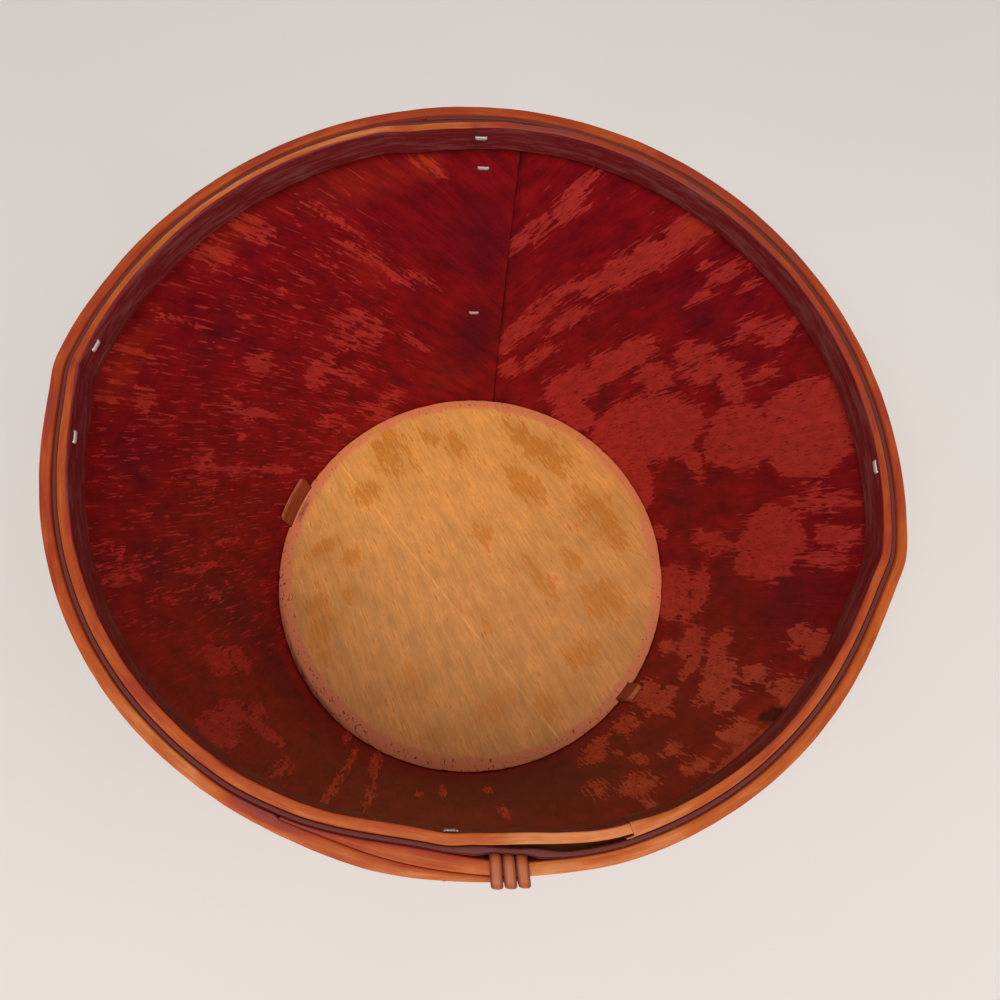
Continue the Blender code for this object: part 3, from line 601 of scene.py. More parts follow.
def close_up():
    """Merges doubles, fills open ends, turns the faces outwards and smooths all but the sharp edges."""
    bpy.ops.object.mode_set(mode="EDIT")
    bpy.ops.mesh.select_all(action="SELECT")
    bpy.ops.mesh.remove_doubles(threshold=MERGE_DISTANCE)
    bpy.ops.mesh.fill_holes(sides=0)
    bpy.ops.mesh.normals_make_consistent(inside=False)
    bpy.ops.object.mode_set(mode="OBJECT")
    bpy.ops.object.shade_smooth_by_angle(angle=math.radians(SHARP_ANGLE))


def hand_over(piece, finish, slot, *nodes):
    """Gives the piece its finish and body, and lets it stand for its CAD nodes by hiding them. The slot is
    not used.
    """
    piece.data.materials.clear()
    piece.data.materials.append(finish)
    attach(piece, "root")
    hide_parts(*nodes)


def rounded_section(thick, height, ease, faces=3, corner=3):
    """Points round a section with eased corners, as depth from the outer face and drop from the top."""
    ease = min(ease, 0.42 * thick)
    centres = ((ease, ease), (thick - ease, ease), (thick - ease, height - ease), (ease, height - ease))
    points = []
    for quarter, (depth, drop) in enumerate(centres):
        for step in range(corner + 1):
            angle = math.radians(180.0 - 90.0 * quarter - 90.0 * step / corner)
            points.append((depth + ease * math.cos(angle), drop - ease * math.sin(angle)))
        following = centres[(quarter + 1) % 4]
        long_side = quarter % 2 == 1
        if long_side:
            for step in range(1, faces + 1):
                share = step / (faces + 1)
                edge = thick if quarter == 1 else 0.0
                points.append((edge, drop + (following[1] - drop) * share))
        else:
            edge = 0.0 if quarter == 0 else height
            points.append(((depth + following[0]) / 2, edge))
    return points


def flat_place(azimuth, z):
    """Where a point of the wall lay in the flat sheet: across and along its grain."""
    share = height_share(z)
    radius = (1 - share) * BOARD_RADIUS + share * (RIM_RADIUS - WALL_TOP_INSET)
    if z < BOARD_THICK:
        radius -= CONE_SLOPE * (BOARD_THICK - z)
    slant = radius / CONE_SINE
    turn = math.radians((azimuth - GRAIN_AZIMUTH) * CONE_SINE)
    return slant * math.sin(turn), slant * math.cos(turn)


def bareness(across, along, places):
    """How far inside a worn place this point of the flat sheet lies, as a share of the fray, from -1 to 1."""
    deepest = -1.0
    for centre_across, centre_along, half_length, half_width, strength in places:
        side = (across - centre_across) / half_width
        end = (along - centre_along) / half_length
        if abs(side) > 4 or abs(end) > 4:
            continue
        reach = max(min(half_length, half_width), LEAST_HALF_SIZE * MM)
        inside = (1.0 - math.hypot(side, end)) * reach / (FRAY * MM)
        deepest = max(deepest, min(inside, strength))
    return deepest


def inside_marks(azimuth, z, across, along, worn_places):
    """Bareness, tone, and soil with painted shade at a point of the wall's inner side."""
    depth = (RIM_Z - z) / MM
    level = BARE_LEVEL + BARE_RISE_RIGHT * ramp(azimuth, *BARE_RIGHT)
    level += BARE_RISE_LEFT * fall(azimuth, *BARE_LEFT[1]) * ramp(azimuth, *BARE_LEFT[0])
    bare = max(bareness(across, along, worn_places), level)
    tone = 0.0
    for centre, centre_depth, half_width, half_length, amount in TONES:
        sideways = turn_between(azimuth, centre) * MM_PER_DEGREE / half_width
        tone += amount * ramp(1.0 - math.hypot(sideways, (depth - centre_depth) / half_length), 0.0, 0.9)
    # Painted shade under the inner hoop and below the lashing, where the inner hoop stands off the wall; soil
    # in a ring round the knot and in the seam
    under_hoop = 0.35 * fall(abs(depth), 9.0, 14.0)
    by_lashing = 0.9 * swell(azimuth, *SHADE_BY_LASHING) * fall(depth, 11.0, 15.0)
    beside_knot, below_knot = turn_between(azimuth, KNOT_AZIMUTH) * 2.2, depth - KNOT_DEPTH
    from_knot = math.hypot(beside_knot, below_knot * KNOT_SHORTENING)
    round_knot = 0.95 * fall(abs(from_knot - KNOT_RING), 1.0, 2.2)
    seam = SEAM_AZIMUTH + 360.0 + SEAM_SLANT * (0.5 - height_share(z))
    at_seam = 0.8 * fall(abs(azimuth - seam), 0.1, 0.7)
    return bare, tone, max(under_hoop, by_lashing, round_knot, at_seam)


def wall_layer(azimuth, z):
    """Thickness of the sheet here, and how far its outer face stands off the cone at the lapped seam."""
    share = height_share(z)
    start, end = SEAM_AZIMUTH, SEAM_AZIMUTH + SEAM_OVERLAP
    if azimuth <= end:
        thick = skived(azimuth)
        return thick, thick - WALL_THICK - (thick + GAP) * share
    if azimuth < end + SEAM_EASE:
        return WALL_THICK, -(WALL_THICK + GAP) * share * fall(azimuth, end + 0.5, end + SEAM_EASE)
    if azimuth > start + 360.0 - SEAM_EASE:
        lift = ramp(azimuth, start + 360.0 - SEAM_EASE, start + 359.0)
        return WALL_THICK, (skived(azimuth - 360.0) + GAP) * (1.0 - share) * lift
    return WALL_THICK, 0.0


def wall_rows():
    """The wall's section, from its foot up the outer face and down the inner one: height and depth share."""
    top = RIM_Z - WALL_TOP_DROP
    rise = top - WALL_EDGE_EASE - BOARD_THICK
    face = [*WALL_FOOT_ROWS, BOARD_THICK]
    face += [BOARD_THICK + rise * (step + 1) / WALL_FACE_STEPS for step in range(WALL_FACE_STEPS)]
    rows = [(z, 0.0) for z in face]
    rows += [(top, 0.25), (top, 0.75)]
    rows += [(z, 1.0) for z in reversed(face)]
    return rows + [(0.0, 0.75), (0.0, 0.25)]


def wall_shape(columns, rows):
    """The function that rolls the flat sheet into the wall."""
    worn_places = []
    for azimuth, depth, half_length, half_width, strength in WORN_RIGHT + WORN_FRONT + WORN_LEFT:
        middle = flat_place(azimuth, RIM_Z - depth * MM)
        worn_places.append((*middle, half_length * MM, half_width * MM, strength))
    wave = sizes().wall_wave

    def shape(column, row):
        azimuth = SEAM_AZIMUTH + (360.0 + SEAM_OVERLAP) * column / columns
        z, depth_share = rows[row % len(rows)]
        share = height_share(z)
        thick, offset = wall_layer(azimuth, z)
        azimuth += SEAM_SLANT * (0.5 - share) * max(0.0, 1.0 - (azimuth - SEAM_AZIMUTH) / SEAM_SLANT_FADE)
        angle = math.radians(azimuth)
        free = 4 * share * (1.0 - share)
        offset += wave * free * ripple(1.0, 2.2 * math.cos(angle), 2.2 * math.sin(angle), 14 * z)
        # The top edge has spread, so that little of the gaps beside it shows
        spread = ramp(z, *[RIM_Z - drop for drop in EDGE_SPREAD_DROPS])
        from_turns = abs(turn_between(azimuth, LASH_AZIMUTH)) - lash_half_angle()
        at_lashing = EDGE_SPREAD_AT_LASHING * ramp(from_turns, -0.3, 0.8) * lash_room(azimuth)
        offset += spread * (1.0 - depth_share) * (EDGE_SPREAD_OUT + at_lashing)
        offset -= spread * depth_share * EDGE_SPREAD_IN
        across, along = flat_place(azimuth, z)
        if depth_share > 0.5:
            marks = inside_marks(azimuth, z, across, along, worn_places)
        else:
            marks = outside_marks(azimuth, z)
        if z > RIM_Z - 1.2 * WALL_TOP_DROP:
            marks = CUT_EDGE_MARKS
        return place(azimuth, z, offset - thick * depth_share), (across, along, thick * depth_share), marks

    return shape


def outside_marks(azimuth, z):
    """Bareness, orange glow and soil at a point of the wall's outer side."""
    angle = math.radians(azimuth)
    patchy = ripple(1.0, 3.1 * math.cos(angle), 3.1 * math.sin(angle), 18 * z + 5.0)
    foot = fall(z, 0.0, 0.014)
    bare = -0.34 + 0.45 * patchy + 0.25 * foot
    soil_and_shade = 0.25 * foot + 0.7 * fall(abs(azimuth - SEAM_AZIMUTH - SEAM_OVERLAP - 360.0), 0.1, 0.8)
    return bare, 0.3 + 0.4 * patchy, soil_and_shade


def make_wall():
    """The wall: one sheet of veneer rolled into a cone, its pared end lying inside the other one."""
    rows = wall_rows()
    columns = studio().wall_columns
    wall = wrapped("rolled_veneer_wall", columns, len(rows), wall_shape(columns, rows))
    hand_over(wall, stained_birch_veneer(), "red_stained_veneer", "wall_sheet")


def riven_waves(waves, length, drop, height):
    """How hollow a riven strip's face is here, and how far its nearer edge lies too high."""
    broad, fine, level, top, foot = waves
    hollow = broad[1] * ripple(broad[0], length, 9 * drop) + fine[1] * ripple(fine[0], length, 5 * drop)
    lift = (top[1] * ripple(top[0], length, 3.0) - top[2]) * fall(drop, 0.0, top[3])
    lift -= (foot[1] * ripple(foot[0], length, 7.0) - foot[2]) * ramp(drop, foot[3], height)
    relief = sizes().hoop_relief
    return relief * (hollow - level), relief * lift


def outer_hoop_shape(columns):
    """The function that bends the outer strip: hidden end first, once round and on over it."""
    start, end = LAP_HIDDEN_END, LAP_OPEN_END + 360.0
    ease = sizes().hoop_ease

    def shape(column, row):
        azimuth = start + (end - start) * column / columns
        thick, inset = strip_thickness(azimuth), 0.0
        if azimuth <= LAP_OPEN_END:
            pressed = LAP_PRESSED * fall(azimuth, LAP_OPEN_END - 8.0, LAP_OPEN_END - 1.0)
            thick, inset = lap_inner_layer(azimuth) + pressed, lap_outer_layer(azimuth) + GAP - pressed
        elif azimuth < LAP_OPEN_END + LAP_OPEN_RELEASE:
            inset = open_step(azimuth)
        elif azimuth > LAP_HIDDEN_END + 360.0:
            thick = lap_outer_layer(azimuth - 360.0)
        # The strip's inner side bulges where it starts to ride up over its hidden end
        before = azimuth - LAP_HIDDEN_END - 360.0
        if -LAP_HIDDEN_RELEASE < before < 0.0:
            bulge = ramp(before, -LAP_HIDDEN_RELEASE, 0.0) * fall(before, -0.8, -0.2)
            thick += 0.85 * (LAP_THIN_END + GAP) * bulge
        section = rounded_section(thick, OUTER_HEIGHT, ease)
        depth, drop = section[row % len(section)]
        length = math.radians(azimuth - start) * RIM_RADIUS
        free = ramp(azimuth, LAP_OPEN_END, LAP_OPEN_END + LAP_BLEND)
        inwards = depth / thick
        outside = 1.0 - min(inwards, 1.0)
        hollow, lift = riven_waves(OUTER_WAVES, length, drop, OUTER_HEIGHT)
        hollow *= free * outside
        top = fall(drop, 0.2 * MM, 1.2 * MM)
        # The edge's own tint; at the right it reddens inwards, and each layer of the lap has its own
        tint = between_stops(OUTER_TINTS, azimuth % 360.0) + 0.12 * inwards * swell(azimuth, *RED_AT_RIGHT)
        if azimuth < LAP_OPEN_END + LAP_BLEND:
            tint += 0.6 * swell(azimuth, *RED_UNDER_LAP) * ramp(inwards, 0.7, 1.0)
            tint += 0.5 * fall(azimuth, LAP_HIDDEN_END + 4.0, LAP_HIDDEN_END + 14.0)
        elif azimuth > LAP_HIDDEN_END + 360.0 - LAP_BLEND:
            tint += 0.28 * ramp(inwards, 0.5, 1.0)
            tint += 0.8 * swell(azimuth, *MAUVE_ON_LAP) * ramp(inwards, 0.25, 0.6)
        marks = (max(top, 0.85 * outside), tint, 0.0)
        point = place(azimuth, RIM_Z - drop + lift, wall_inset(azimuth) - inset - depth + hollow)
        return point, (length, drop, depth), marks

    return shape


def between_stops(stops, azimuth):
    """The value at this azimuth, on straight lines between the stops round the rim."""
    stops = [*stops, (stops[0][0] + 360.0, stops[0][1])]
    for (start, before), (end, after) in zip(stops, stops[1:]):
        if start <= azimuth <= end:
            return before + (after - before) * (azimuth - start) / (end - start)
    return stops[0][1]


def inner_hoop_offset(azimuth):
    """Offset of the inner hoop's outer face from the wall's; its strip starts at the scarf.

    It lies against the wall as far as the lashing, and from there runs free to its square-cut end.
    """
    run = azimuth if azimuth >= SCARF_AZIMUTH - SCARF_OVERLAP else azimuth + 360.0
    if run <= FREE_AZIMUTH + 360.0:
        return -(WALL_THICK + GAP + seam_step(run))
    first = wall_inset(FREE_AZIMUTH) + WALL_THICK + GAP
    last = wall_inset(SCARF_AZIMUTH) + WALL_THICK + GAP + FRONT_GAP
    inset = first + (last - first) * ramp(run, RETURN_AZIMUTH + 360.0, SCARF_AZIMUTH + 360.0)
    return wall_inset(run) - inset


def inner_hoop_face(azimuth):
    """Offset of the inner hoop's inner face from the wall's outer one."""
    return inner_hoop_offset(azimuth) - inner_thickness(azimuth)


def inner_hoop_shape(columns):
    """The function that bends the inner strip, which starts thin behind its own square-cut end."""
    start = SCARF_AZIMUTH - SCARF_OVERLAP
    end = SCARF_AZIMUTH + 360.0
    ease = sizes().hoop_ease

    def shape(column, row):
        if column < len(SCARF_FIRST_COLUMNS):
            azimuth = start + SCARF_FIRST_COLUMNS[column]
        else:
            azimuth = start + (end - start) * (column - 2) / (columns - 2)
        # Only a thin tongue lies behind the strip's other end; past it the two are flush inside
        flush = FRONT_GAP * fall(azimuth, SCARF_AZIMUTH, start + SCARF_LENGTH + 1.5)
        on_tongue = column < len(SCARF_FIRST_COLUMNS) - 1
        thick = SCARF_THIN_END if on_tongue else inner_thickness(azimuth) + flush
        section = rounded_section(thick, INNER_HEIGHT, ease)
        depth, drop = section[row % len(section)]
        length = math.radians(azimuth - start) * RIM_RADIUS
        inside = min(depth / thick, 1.0)
        hollow, lift = riven_waves(INNER_WAVES, length, drop, INNER_HEIGHT)
        split = SPLIT_DEPTH * swell(azimuth, SPLIT_AZIMUTH, 1.0)
        top = fall(drop, 0.05 * MM, 0.6 * MM)
        crack = max(0.3 * swell(azimuth, SPLIT_AZIMUTH, 0.8), 0.35 * swell(azimuth, CRACK_AZIMUTH, 1.6))
        # At the back left only the outer half of the top edge is rubbed bare
        top *= 1.0 - 0.9 * swell(azimuth, *STAINED_BACK_LEFT) * ramp(inside, 0.6, 0.8)
        tint = between_stops(INNER_TINTS, azimuth % 360.0) + 0.1 * inside
        offset = inner_hoop_offset(azimuth) - depth + inside * (split - hollow)
        return place(azimuth, RIM_Z - drop + lift, offset), (length, drop, depth), (top, tint, crack)

    return shape


def make_hoops():
    """Both rim hoops: riven strips bent round the wall's top edge, outside and inside it."""
    section = len(rounded_section(OUTER_THICK, OUTER_HEIGHT, sizes().hoop_ease))
    finish = riven_ash_hoop()
    outer = wrapped("bent_outer_hoop", OUTER_COLUMNS, section, outer_hoop_shape(OUTER_COLUMNS))
    hand_over(outer, finish, "varnished_hoop_wood", "outer_hoop")
    inner = wrapped("bent_inner_hoop", INNER_COLUMNS, section, inner_hoop_shape(INNER_COLUMNS))
    hand_over(inner, finish, "varnished_hoop_wood", "inner_hoop")


def board_flat_place(x, y, z):
    """Where a point of the board lies along and across its slightly fanned grain."""
    angle = math.radians(BOARD_GRAIN_ANGLE)
    along = x * math.cos(angle) - y * math.sin(angle)
    across = x * math.sin(angle) + y * math.cos(angle)
    return along, across - BOARD_GRAIN_FAN * along * across / MM, z


def key_groove(azimuth, radius, start, end):
    """1 in the groove beside the left key, fading out from start to end mm from its middle."""
    sideways = abs(radius - GROOVE_RADIUS)
    return swell(azimuth, GROOVE_AZIMUTH, GROOVE_SPREAD) * fall(sideways, start, end)


def board_marks(x, y, z):
    """Amber stain, reddened border, and a darkening with painted contact shade at a point of the board."""
    along, across, _ = board_flat_place(x, y, z)
    amber = -1.0
    for centre_x, centre_y, half_length, half_width, strength in BOARD_STAINS:
        centre_along, centre_across, _ = board_flat_place(centre_x * MM, centre_y * MM, z)
        ends = (along - centre_along) / (1.2 * half_length)
        inside = 1.0 - math.hypot(ends, (across - centre_across) / (1.2 * half_width)) / MM
        amber = max(amber, min(inside * 1.4, 0.9) + 0.35 * (strength - 1.0))
    radius = math.hypot(x, y) / MM
    azimuth = math.degrees(math.atan2(y, x)) % 360.0
    width = 6.3 + 2.2 * swell(azimuth, *BORDER_WIDEST) + 0.9 * ripple(0.05, azimuth, 2.0)
    start = BOARD_RADIUS / MM - width
    border = ramp(radius, start - 2.4, start + 2.0)
    red = border * (0.7 + 0.3 * swell(azimuth, *BORDER_REDDEST))
    # Darker in the key's groove and along the front left; at the very edge this is painted contact shade
    soil_and_shade = max(0.75 * key_groove(azimuth, radius, 0.9, 1.8), 0.8 * ramp(radius, 103.0, 103.8))
    soil_and_shade = max(soil_and_shade, swell(azimuth, *BOARD_DARKENED_EDGE) * ramp(radius, 100.4, 102.4))
    return (amber, red, soil_and_shade) if z >= BOARD_THICK / 2 else UNDERSIDE_MARKS


def notch_half_angle(length):
    """Half of the arc that the notch for a key of this length takes, in degrees."""
    return math.degrees((length / 2 + GAP) / BOARD_RADIUS)


def board_columns():
    """Azimuths round the board, with close pairs at both ends of each key's notch."""
    ends = []
    for _, azimuth, length, _, _ in KEYS:
        ends += [azimuth - notch_half_angle(length), azimuth + notch_half_angle(length)]
    azimuths = [step * 360.0 / BOARD_COLUMNS for step in range(BOARD_COLUMNS)]
    azimuths = [azimuth for azimuth in azimuths if all(abs(azimuth - end) > 0.3 for end in ends)]
    for end in ends:
        azimuths += [end - 0.01, end + 0.01]
    return sorted(azimuths)


def notch_radius(azimuth, z):
    """Radius of the notch wall behind a key, or nothing where there is no notch."""
    for _, centre, length, thick, _ in KEYS:
        if abs(turn_between(azimuth, centre)) < notch_half_angle(length):
            return wall_radius(azimuth, z) - WALL_THICK - GAP - thick - GAP
    return None


def board_edge(azimuth, z):
    """Radius of the board's worn edge at this height: chipped at the top, sound below."""
    radius = BOARD_RADIUS - MEAN_SLOPE * (BOARD_THICK - z)
    rough = 0.5 * abs(ripple(0.22, azimuth, 4.0)) + 0.35 * abs(ripple(0.9, azimuth, 9.0))
    deep = max(0.0, ripple(0.45, azimuth, 31.0) - 0.28) * 2.4
    return radius - sizes().edge_chips * min(rough + deep, 1.4) * ramp(z, 0.0075, BOARD_THICK)


def board_rows():
    """The board's section from the middle of its top to the middle of its underside."""
    first, step, count = BORDER_RINGS
    upper = (BOARD_THICK - sizes().border_drop - 0.0002, 0.0095)
    rows = [("top", radius * MM) for radius in TOP_RINGS]
    rows += [("top", (first + step * number) * MM) for number in range(count)]
    rows += [("edge", z) for z in upper]
    rows += [("notch", 0.0)]
    rows += [("edge", z) for z in (0.0067, 0.0035, 0.0003)]
    return rows + [("under", radius * MM) for radius in UNDER_RINGS]


def board_shape(azimuths, rows):
    """The function that wraps a grid round the board's section."""
    floor = BOARD_THICK - KEY_DEPTH - GAP
    width, drop = sizes().border_width, sizes().border_drop

    def shape(column, row):
        azimuth = azimuths[column % len(azimuths)]
        kind, value = rows[row]
        notch = notch_radius(azimuth, BOARD_THICK)
        if kind == "top":
            slope = ramp(value, BOARD_RADIUS - width, BOARD_RADIUS)
            radius, z = value, BOARD_THICK - drop * (0.35 * slope + 0.65 * slope * slope)
            z -= GROOVE_DEPTH * key_groove(azimuth, value / MM, 0.7, 1.7)
            if notch and radius > notch:
                radius, z = notch, BOARD_THICK - drop * 0.3
        elif kind == "edge":
            radius, z = board_edge(azimuth, value), value
            if notch and z > floor:
                radius = notch
                z = BOARD_THICK - drop * 0.3 if value > 0.0096 else z
        elif kind == "notch":
            radius, z = (notch if notch else board_edge(azimuth, floor)), floor
        else:
            radius, z = value, 0.0
        angle = math.radians(azimuth)
        x, y = radius * math.cos(angle), radius * math.sin(angle)
        return Vector((x, y, z)), board_flat_place(x, y, z), board_marks(x, y, z)

    return shape


def make_board():
    """The board: a planed disc with a shallow border, a chipped edge and two notches for the keys."""
    azimuths = board_columns()
    rows = board_rows()
    board = wrapped("planed_board", len(azimuths), len(rows) - 1, board_shape(azimuths, rows))
    hand_over(board, planed_basswood(), "bare_board_wood", "bottom_board")


def key_shape(columns, azimuth, length, thick, height):
    """The function that shapes a split slip of wood: thinner at its ends, with an uneven top."""
    half = math.degrees(length / 2 / BOARD_RADIUS)
    floor = BOARD_THICK - KEY_DEPTH

    def shape(column, row):
        share = column / columns
        turn = azimuth - half + 2 * half * share
        ends = min(share, 1.0 - share) * length
        blunt = ramp(ends, -0.6 * MM, 1.6 * MM)
        ragged = 0.5 + 0.5 * ripple(420.0, share * length, azimuth)
        tall = KEY_DEPTH + height * (0.72 + 0.28 * blunt) - 0.9 * MM * ragged
        section = rounded_section(thick * (0.75 + 0.25 * blunt), tall, KEY_EASE)
        depth, drop = section[row % len(section)]
        sunk = 0.18 * MM * ripple(300.0, share * length, 2 * drop) * min(depth / thick, 1.0)
        top = fall(drop, 0.3 * MM, 1.1 * MM)
        marks = (top, 0.5 + 0.5 * ripple(200.0, share * length, drop), 0.3 * (1.0 - blunt))
        point = place(turn, floor + tall - drop, -WALL_THICK - GAP - depth + sunk / 2)
        return point, (share * length, drop, depth), marks

    return shape


def make_keys():
    """The two slips of wood wedged between the board and the wall."""
    finish = reddened_slip_wood()
    for name, azimuth, length, thick, height in KEYS:
        columns = round(length / KEY_STEP)
        section = len(rounded_section(thick, height, KEY_EASE))
        key = wrapped("split_" + name, columns, section, key_shape(columns, azimuth, length, thick, height))
        hand_over(key, finish, "reddened_key_wood", name)


def swept(name, route, widths, section, wide_axes):
    """A strip of one section drawn along a route, its wide side along the given axes."""
    lengths = [0.0]
    for before, after in zip(route, route[1:]):
        lengths.append(lengths[-1] + (after - before).length)

    def shape(column, row):
        before, after = route[max(column - 1, 0)], route[min(column + 1, len(route) - 1)]
        tangent = (after - before).normalized()
        wide = wide_axes[column]
        wide = (wide - tangent * wide.dot(tangent)).normalized()
        across, rise = section[row % len(section)]
        scale = widths[column]
        point = route[column] + scale * (wide * across + tangent.cross(wide) * rise)
        return point, (across, lengths[column], rise), (1.0 - scale, lengths[column] / lengths[-1], 0.0)

    return wrapped(name, len(route) - 1, len(section), shape)


def flat_oval(width, thick, power, points=16):
    """Points round a flat oval section."""
    section = []
    for step in range(points):
        angle = 2 * math.pi * step / points
        across, rise = math.cos(angle), math.sin(angle)
        across = math.copysign(abs(across) ** power, across)
        rise = math.copysign(abs(rise) ** power, rise)
        section.append((across * width / 2, rise * thick / 2))
    return section


def lash_corner(quarter, share, half_width, half_height):
    """A point on one rounded corner of the cane's way round the hoop, counted from below outside."""
    angle = math.radians(90.0 * (quarter - 1) + 90.0 * share)
    side = 1 if quarter in (0, 1) else -1
    level = 1 if quarter in (1, 2) else -1
    across = side * (half_width - LASH_CORNER) + LASH_CORNER * math.cos(angle)
    rise = level * (half_height - LASH_CORNER) + LASH_CORNER * math.sin(angle)
    return across, rise


def lashing_route():
    """Points of the cane: each turn stands square to the rim, and the cane steps on only below it."""
    near = LASH_GAP + CANE_THICK / 2
    half_height = OUTER_HEIGHT / 2 + near
    bends = []
    for turn in range(-1, LASH_TURNS + 1):
        azimuth = LASH_AZIMUTH + math.degrees(LASH_PITCH * ((LASH_TURNS - 1) / 2 - turn) / RIM_RADIUS)
        half_width = wall_inset(azimuth) / 2
        for quarter in range(4):
            bend = []
            for step in range(LASH_BEND_STEPS + 1):
                out, up = lash_corner(quarter, step / LASH_BEND_STEPS, half_width, half_height)
                bend.append(place(azimuth, RIM_Z - OUTER_HEIGHT / 2 + up, near + half_width + out))
            bends.append(bend)
    points = [bends[3][-1].lerp(bends[4][0], LASH_START), *bends[4]]
    for bend in bends[5:-4]:
        points += [points[-1].lerp(bend[0], share / 4) for share in (1, 2, 3)]
        points += bend
    return [*points, points[-1].lerp(bends[-4][0], LASH_TAIL)]


def make_lashing():
    """The lashing: flat cane wound three times round the outer hoop's lap."""
    along = wall_frame(LASH_AZIMUTH, RIM_Z - OUTER_HEIGHT / 2).to_3x3().col[0]
    route = lashing_route()
    floor = RIM_Z - OUTER_HEIGHT - LASH_GAP
    widths = [1.0 - LASH_NARROWING * fall(point.z, floor, floor + LASH_CORNER) for point in route]
    section = flat_oval(CANE_BULGE * CANE_WIDTH, CANE_BULGE * CANE_THICK, 0.8)
    cane = swept("wound_cane", route, widths, section, [along] * len(route))
    hand_over(cane, split_cane(), "split_cane", "cane_lashing")


def staple_span(azimuth, z, inner_offset, outer_offset):
    """The staple's frame, and how far its crown and its clinched tips lie from it."""
    basis = wall_frame(azimuth, z)
    inverse = basis.inverted()
    half_turn = math.degrees(STAPLE_WIDTH / 2 / wall_radius(azimuth, z))
    turns = [azimuth + turn for turn in (-half_turn, 0.0, half_turn)]
    inner = min((inverse @ place(turn, z, inner_offset(turn))).y for turn in turns)
    outer = max((inverse @ place(turn, z, outer_offset(turn))).y for turn in turns)
    return basis, inner - STAPLE_CROWN_GAP, outer + STAPLE_TIP_GAP


def staple_spans():
    """Each staple's name and span: through the rim, and through the seam's lap."""
    spans = []
    for number, (azimuth, drop) in enumerate(HOOP_STAPLES, start=1):
        span = staple_span(azimuth, RIM_Z - drop, inner_hoop_face, wall_inset)
        spans.append((f"hoop_staple_{number}", span))
    for number, (azimuth, depth) in enumerate(SEAM_STAPLES, start=1):
        share = height_share(RIM_Z - depth)

        def crown_side(turn, share=share):
            return -WALL_THICK - (skived(turn) + GAP) * share

        def tip_side(turn, share=share):
            return (skived(turn) + GAP) * (1.0 - share)

        spans.append((f"seam_staple_{number}", staple_span(azimuth, RIM_Z - depth, crown_side, tip_side)))
    return spans


def rounded_corners(corners, radius, steps=5):
    """The path through the corners, with each bend drawn as a short curve."""
    path = [corners[0]]
    for before, corner, after in zip(corners, corners[1:], corners[2:]):
        back = (before - corner).normalized() * min(radius, (before - corner).length * 0.45)
        on = (after - corner).normalized() * min(radius, (after - corner).length * 0.45)
        for step in range(steps + 1):
            share = step / steps
            path.append(corner + back * (1 - share) ** 2 + on * share**2)
    return path + [corners[-1]]


def make_staples():
    """The staples: flattened wire, with a crown inside, two legs and both tips clinched outside."""
    finish = tinned_steel()
    section = flat_oval(sizes().staple_crown, 0.6 * sizes().staple_crown, 0.9, 12)
    half = STAPLE_WIDTH / 2
    for name, (basis, crown, tips) in staple_spans():
        flat = [(STAPLE_TIP - half, tips), (-half, tips), (-half, crown)]
        flat += [(half, crown), (half, tips), (half - STAPLE_TIP, tips)]
        path = rounded_corners([Vector((x, y, 0.0)) for x, y in flat], STAPLE_BEND)
        widths = [0.35 if index in (0, len(path) - 1) else 0.6 for index in range(len(path))]
        for index, point in enumerate(path):
            if point.y < crown + 0.5 * MM:
                # The front staple's crown is drawn thinner, which the wire's finish turns into painted shade
                # as rust
                widths[index] = 0.85 if name == SHADED_FRONT_STAPLE else 1.0
        up = basis.to_3x3().col[2]
        path = [basis @ point for point in path]
        staple = swept("clinched_" + name, path, widths, section, [up] * len(path))
        hand_over(staple, finish, "tinned_steel_wire", name)


def make_nails():
    """The nails: domed heads on the wall's foot, each shank run into the board's edge."""
    finish = tinned_steel()
    head, shank = sizes().nail_head, sizes().nail_shank
    point = NAIL_LENGTH - 3 * shank
    profile = [(share * head, GAP + height * MM) for share, height in NAIL_DOME]
    profile += [(shank, GAP), (shank, -point / 2), (shank, -point), (0.0, -NAIL_LENGTH)]
    for number in range(1, NAIL_COUNT + 1):
        basis = wall_frame(NAIL_FIRST_AZIMUTH + 360.0 / NAIL_COUNT * (number - 1), NAIL_HEIGHT)

        def shape(column, row, basis=basis, number=number):
            angle = 2 * math.pi * (column % NAIL_COLUMNS) / NAIL_COLUMNS
            radius, out = profile[row]
            x, z = radius * math.cos(angle), radius * math.sin(angle)
            if 0 < row < len(NAIL_DOME) - 1:
                out += 0.07 * MM * ripple(900.0, x, z, number)
            at = Vector((x, out, z))
            return basis @ at, at, (0.0, 0.0, 0.4 if row > 4 else 0.0)

        nail = wrapped(f"driven_nail_{number}", NAIL_COLUMNS, len(profile) - 1, shape)
        hand_over(nail, finish, "tinned_steel_wire", f"board_nail_{number}")


def put(tree, kind, inputs=(), out=0, stops=(), **settings):
    """Adds a node with its settings, links or sets its inputs, and returns one of its outputs."""
    made = tree.nodes.new("ShaderNode" + kind)
    for name, value in settings.items():
        setattr(made, name, value)
    for number, (position, colour) in enumerate(stops):
        elements = made.color_ramp.elements
        element = elements[number] if number < 2 else elements.new(position)
        element.position = position
        element.color = colour
    for key, value in dict(inputs).items():
        if isinstance(value, bpy.types.NodeSocket):
            tree.links.new(value, made.inputs[key])
        else:
            made.inputs[key].default_value = value
    return made.outputs[out]


def wood_noise(tree, lath, stretch, detail=2.0, roughness=0.5, distortion=0.0):
    """Noise in the flat wood, with this many cycles per mm along each of its axes."""
    where = put(tree, "VectorMath", {0: lath, 1: stretch}, operation="MULTIPLY")
    fineness = {"Detail": detail, "Roughness": roughness, "Distortion": distortion}
    return put(tree, "TexNoise", {"Vector": where, "Scale": 1.0, **fineness})


